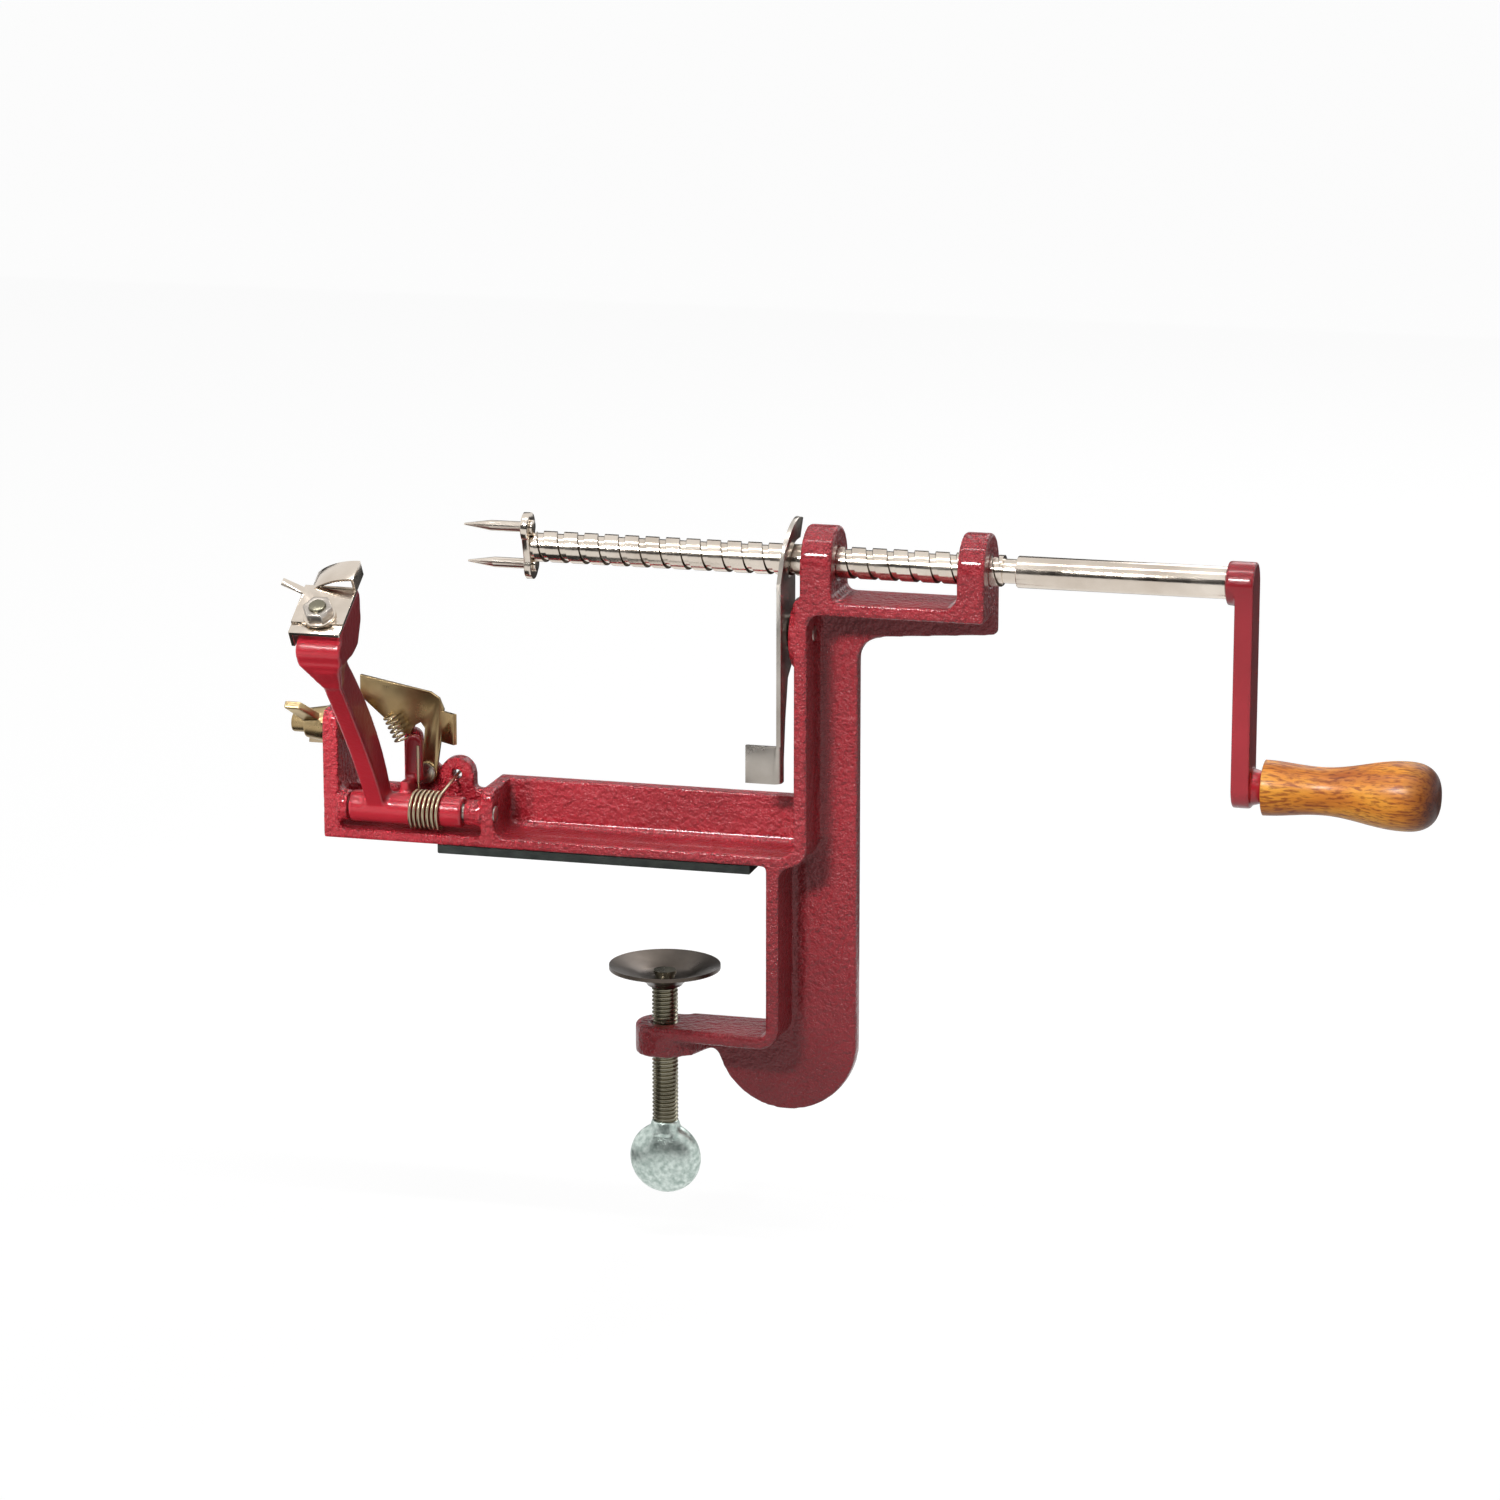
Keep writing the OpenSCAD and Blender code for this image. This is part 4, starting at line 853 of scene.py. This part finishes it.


# %% [markdown]
# The arm's torsion spring sits on the hub. One leg ends in the frame's ring and the other stands
# up the front of the arm's horn. It could ride on one of the two bodies, but then its other leg
# would tear away, so it rides on neither.

# %% Arm spring
ARM_Y, ARM_Z = -8.0, 13.0
ARM_WIRE, ARM_COIL_R, ARM_COIL_PITCH = 0.95, 5.65, 1.42
SPRING_RIGHT, SPRING_LIFT, SPRING_TURNS = -48.0, 8.0, 7
RING_LEG_Y, HORN_LEG = 10.0, 18.4
COIL_STEPS = 36
from_angle, to_angle = 90 + SPRING_LIFT, 360 * SPRING_TURNS
spring_left = SPRING_RIGHT - ARM_COIL_PITCH * (to_angle - from_angle) / 360


def arm_coil(t):
    a = math.radians(from_angle + (to_angle - from_angle) * t)
    x = SPRING_RIGHT + (spring_left - SPRING_RIGHT) * t
    return Vector((x, ARM_Y + ARM_COIL_R * math.cos(a), ARM_Z + ARM_COIL_R * math.sin(a)))


lift = math.radians(SPRING_LIFT)
ring_leg = (RING_LEG_Y - ARM_Y) / math.cos(lift) * Vector((0, math.cos(lift), math.sin(lift)))
arm_count = SPRING_TURNS * COIL_STEPS
arm_path = [arm_coil(0) + ring_leg * s for s in (1, 0.66, 0.33)]
arm_path += [arm_coil(i / arm_count) for i in range(arm_count + 1)]
arm_path += [arm_coil(1) + Vector((0, 0, HORN_LEG * s)) for s in (0.33, 0.66, 1)]
arm_spring = wire("wound_arm_spring", arm_path, Vector((1, 0, 0)), ARM_WIRE / 2)
show(arm_spring, None, WIRE, "spring_wire", "arm_spring")
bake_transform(arm_spring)

# %% [markdown]
# The latch's small spring hangs between the latch and a post of the frame. It could stay stiff,
# since the latch moves only a little, but its hook would leave the plate. It rides on neither
# body either.

# %% Latch spring
LATCH_AXIS = Vector((0.45, 0, -0.893))
LATCH_TOP = Vector((-68.3, 3.05, 38.7))
LATCH_WIRE, LATCH_COIL_R, LATCH_TURNS, LATCH_PITCH = 0.7, 1.85, 5.5, 1.5
PLATE_Y, POST_Y = 6.1, 7.9
backward = Vector((0, 1, 0))
latch_side = LATCH_AXIS.cross(backward)
latch_count = int(LATCH_TURNS * COIL_STEPS)


def latch_coil(t):
    a = math.radians(270 - 360 * LATCH_TURNS * t)
    ring = math.cos(a) * backward + math.sin(a) * latch_side
    return LATCH_TOP + LATCH_AXIS * LATCH_PITCH * LATCH_TURNS * t + LATCH_COIL_R * ring


latch_path = [latch_coil(0) + backward * (PLATE_Y - LATCH_TOP.y) * s for s in (1, 0.5)]
latch_path += [latch_coil(i / latch_count) for i in range(latch_count + 1)]
latch_path += [latch_coil(1) + backward * (POST_Y - LATCH_TOP.y) * s for s in (0.5, 1)]
latch_spring = wire("wound_latch_spring", latch_path, LATCH_AXIS, LATCH_WIRE / 2)
show(latch_spring, None, WIRE, "spring_wire", "latch_spring")
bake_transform(latch_spring)

# %% [markdown]
# The picture is a white page, but a white room would light the object from all sides. Less light
# would turn the page grey. So floor and world ask what a ray is for, and they are whiter for rays
# that end in the picture than for rays that only brighten things.


# %% What the camera sees
def seen_white(tree):
    """1 for what the camera, a mirror or glass sees, and 0 for light that only brightens things."""
    rays = tree.nodes.new("ShaderNodeLightPath")
    total = rays.outputs["Is Camera Ray"]
    for ray in ("Is Glossy Ray", "Is Transmission Ray"):
        larger = tree.nodes.new("ShaderNodeMath")
        larger.operation = "MAXIMUM"
        tree.links.new(total, larger.inputs[0])
        tree.links.new(rays.outputs[ray], larger.inputs[1])
        total = larger.outputs[0]
    return total


# %% [markdown]
# The stage is a wide pale floor below the clamp. A floor that only glows would lose the shadow,
# and one that is only lit would turn grey. So for what the camera and mirrors see, most of its
# light is plain white and the rest is lit, which keeps a soft shadow on the page.

# %% Floor
FLOOR_GAP, FLOOR_HALF = 0.014, 4.0
floor_mesh = bmesh.new()
bmesh.ops.create_grid(floor_mesh, x_segments=1, y_segments=1, size=FLOOR_HALF)
floor = from_bmesh("floor", floor_mesh)
floor.location.z = cad_box[0].z - FLOOR_GAP
paper, paper_tree, paper_shader = finish_base("paper", Base_Color=(0.5, 0.5, 0.5, 1), Roughness=0.9)
PAPER_GLOW, PAPER_LEVEL = 0.7, 1.32
glow = paper_tree.nodes.new("ShaderNodeEmission")
glow.inputs["Strength"].default_value = PAPER_LEVEL
share = paper_tree.nodes.new("ShaderNodeMath")
share.operation = "MULTIPLY"
share.inputs[1].default_value = PAPER_GLOW
mixed = paper_tree.nodes.new("ShaderNodeMixShader")
paper_tree.links.new(seen_white(paper_tree), share.inputs[0])
paper_tree.links.new(share.outputs[0], mixed.inputs["Fac"])
paper_tree.links.new(paper_shader.outputs[0], mixed.inputs[1])
paper_tree.links.new(glow.outputs[0], mixed.inputs[2])
paper_tree.links.new(mixed.outputs[0], paper_tree.nodes["Material Output"].inputs["Surface"])
floor.data.materials.append(paper)
print("floor at z =", round(floor.location.z, 4))

# %% [markdown]
# In a studio the peeler would stand in soft light from above. One large lamp could do that, but it
# flattens the castings. So a narrow lamp shines from above the user's head, a low one at the left
# only lights the arm's underside, a strip overhead draws glints along the edges, and a soft one
# comes from behind.


# %% Lamps
def lamp(name, place, aim, size, power, spread=180):
    data = bpy.data.lights.new(name, "AREA")
    data.shape = "RECTANGLE"
    data.energy, data.spread = power, math.radians(spread)
    data.size, data.size_y = size
    obj = bpy.data.objects.new(name, data)
    obj.location = place
    obj.rotation_euler = (Vector(aim) - Vector(place)).to_track_quat("-Z", "Y").to_euler()
    bpy.context.scene.collection.objects.link(obj)
    return obj


lamp("key", (-0.12, -0.66, 0.46), (0.035, 0, 0.047), (0.6, 0.08), power=0.25, spread=16)
side = lamp(
    "side", (-0.34, -0.60, 0.0), (-0.085, -0.03, 0.035), (0.1, 0.1), power=0.028, spread=9
)
side.visible_glossy = False
lamp("top", (0.05, -0.20, 0.90), (0.05, 0, 0), (0.9, 0.04), power=2.8)
lamp("back", (0.3, 1.2, 0.9), (0.08, 0, 0.02), (0.8, 0.8), power=5)
print("lamps:", len(bpy.data.lights))

# %% [markdown]
# Round the object is a white room. A white world would wash out every shadow, and a grey one
# would show in the picture. So the world fills the shadows with grey and looks white to the
# camera and to mirrors.

# %% World
FILL_LEVEL, WHITE_LEVEL = 0.22, 1.0
world = bpy.data.worlds.new("studio")
bpy.context.scene.world = world
world.use_nodes = True
sky = world.node_tree
fill_light = sky.nodes["Background"]
fill_light.inputs["Color"].default_value = (1, 1, 1, 1)
level = sky.nodes.new("ShaderNodeMapRange")
level.inputs["To Min"].default_value = FILL_LEVEL
level.inputs["To Max"].default_value = WHITE_LEVEL
sky.links.new(seen_white(sky), level.inputs["Value"])
sky.links.new(level.outputs["Result"], fill_light.inputs["Strength"])
bpy.context.scene.view_settings.view_transform = "Standard"
print("fill level:", FILL_LEVEL)

# %% [markdown]
# Bright metal in a white room turns white and loses its shape. Darker metal would look dull, so
# dark boards stand outside the picture, as in a photographer's studio. Only mirrors see them.

# %% Dark boards
BOARD = finish_base("dark_board", Base_Color=(0.03, 0.028, 0.028, 1), Roughness=0.9)[0]
BOARD_LIFT = 0.003


def board(name, place, size, aim):
    mesh = bmesh.new()
    bmesh.ops.create_grid(mesh, x_segments=1, y_segments=1, size=0.5)
    obj = from_bmesh(name, mesh)
    obj.location = place
    obj.scale = (*size, 1)
    obj.rotation_euler = (Vector(aim) - Vector(place)).to_track_quat("Z", "Y").to_euler()
    obj.data.materials.append(BOARD)
    obj.visible_camera = obj.visible_diffuse = obj.visible_shadow = False
    print(name, "at", place)


on_floor = floor.location.z + BOARD_LIFT
board("front_board", (0.57, -2.1, 0.55), (4.5, 1.5), (0.57, 0, 0.55))
board("back_board", (0.1, 2.0, 0.85), (4.0, 1.1), (0.1, 0, 0.85))
board("low_board", (0.3, 1.05, on_floor), (3.0, 1.5), (0.3, 1.05, 1))
board("arm_card", (-0.14, -0.075, on_floor), (0.18, 0.25), (-0.14, -0.075, 1))

# %% [markdown]
# The camera stands where the photograph was taken from: a little to the right of the front and
# above it, far away with a long lens. A camera could track the object by itself, but then its view
# would shift with every change of a piece. So its place, its angles and its focal length are
# worked out from the photograph and typed in.

# %% Camera
AZIMUTH, ELEVATION = math.radians(15), math.radians(13.6)
CAMERA_AT = Vector((0.4466, -1.4927, 0.4099))
PHOTO_PX, FOCAL_PX, SENSOR_MM = 1500, 5300, 36
camera_data = bpy.data.cameras.new("camera")
camera_data.sensor_width = SENSOR_MM
camera_data.lens = FOCAL_PX / PHOTO_PX * SENSOR_MM
camera = bpy.data.objects.new("camera", camera_data)
camera.location = CAMERA_AT
level_share = math.cos(ELEVATION)
back = Vector((
    math.sin(AZIMUTH) * level_share, -math.cos(AZIMUTH) * level_share, math.sin(ELEVATION)
))
camera.rotation_euler = (-back).to_track_quat("-Z", "Y").to_euler()
bpy.context.scene.collection.objects.link(camera)
bpy.context.scene.camera = camera
print("camera lens:", round(camera_data.lens, 1), "mm")
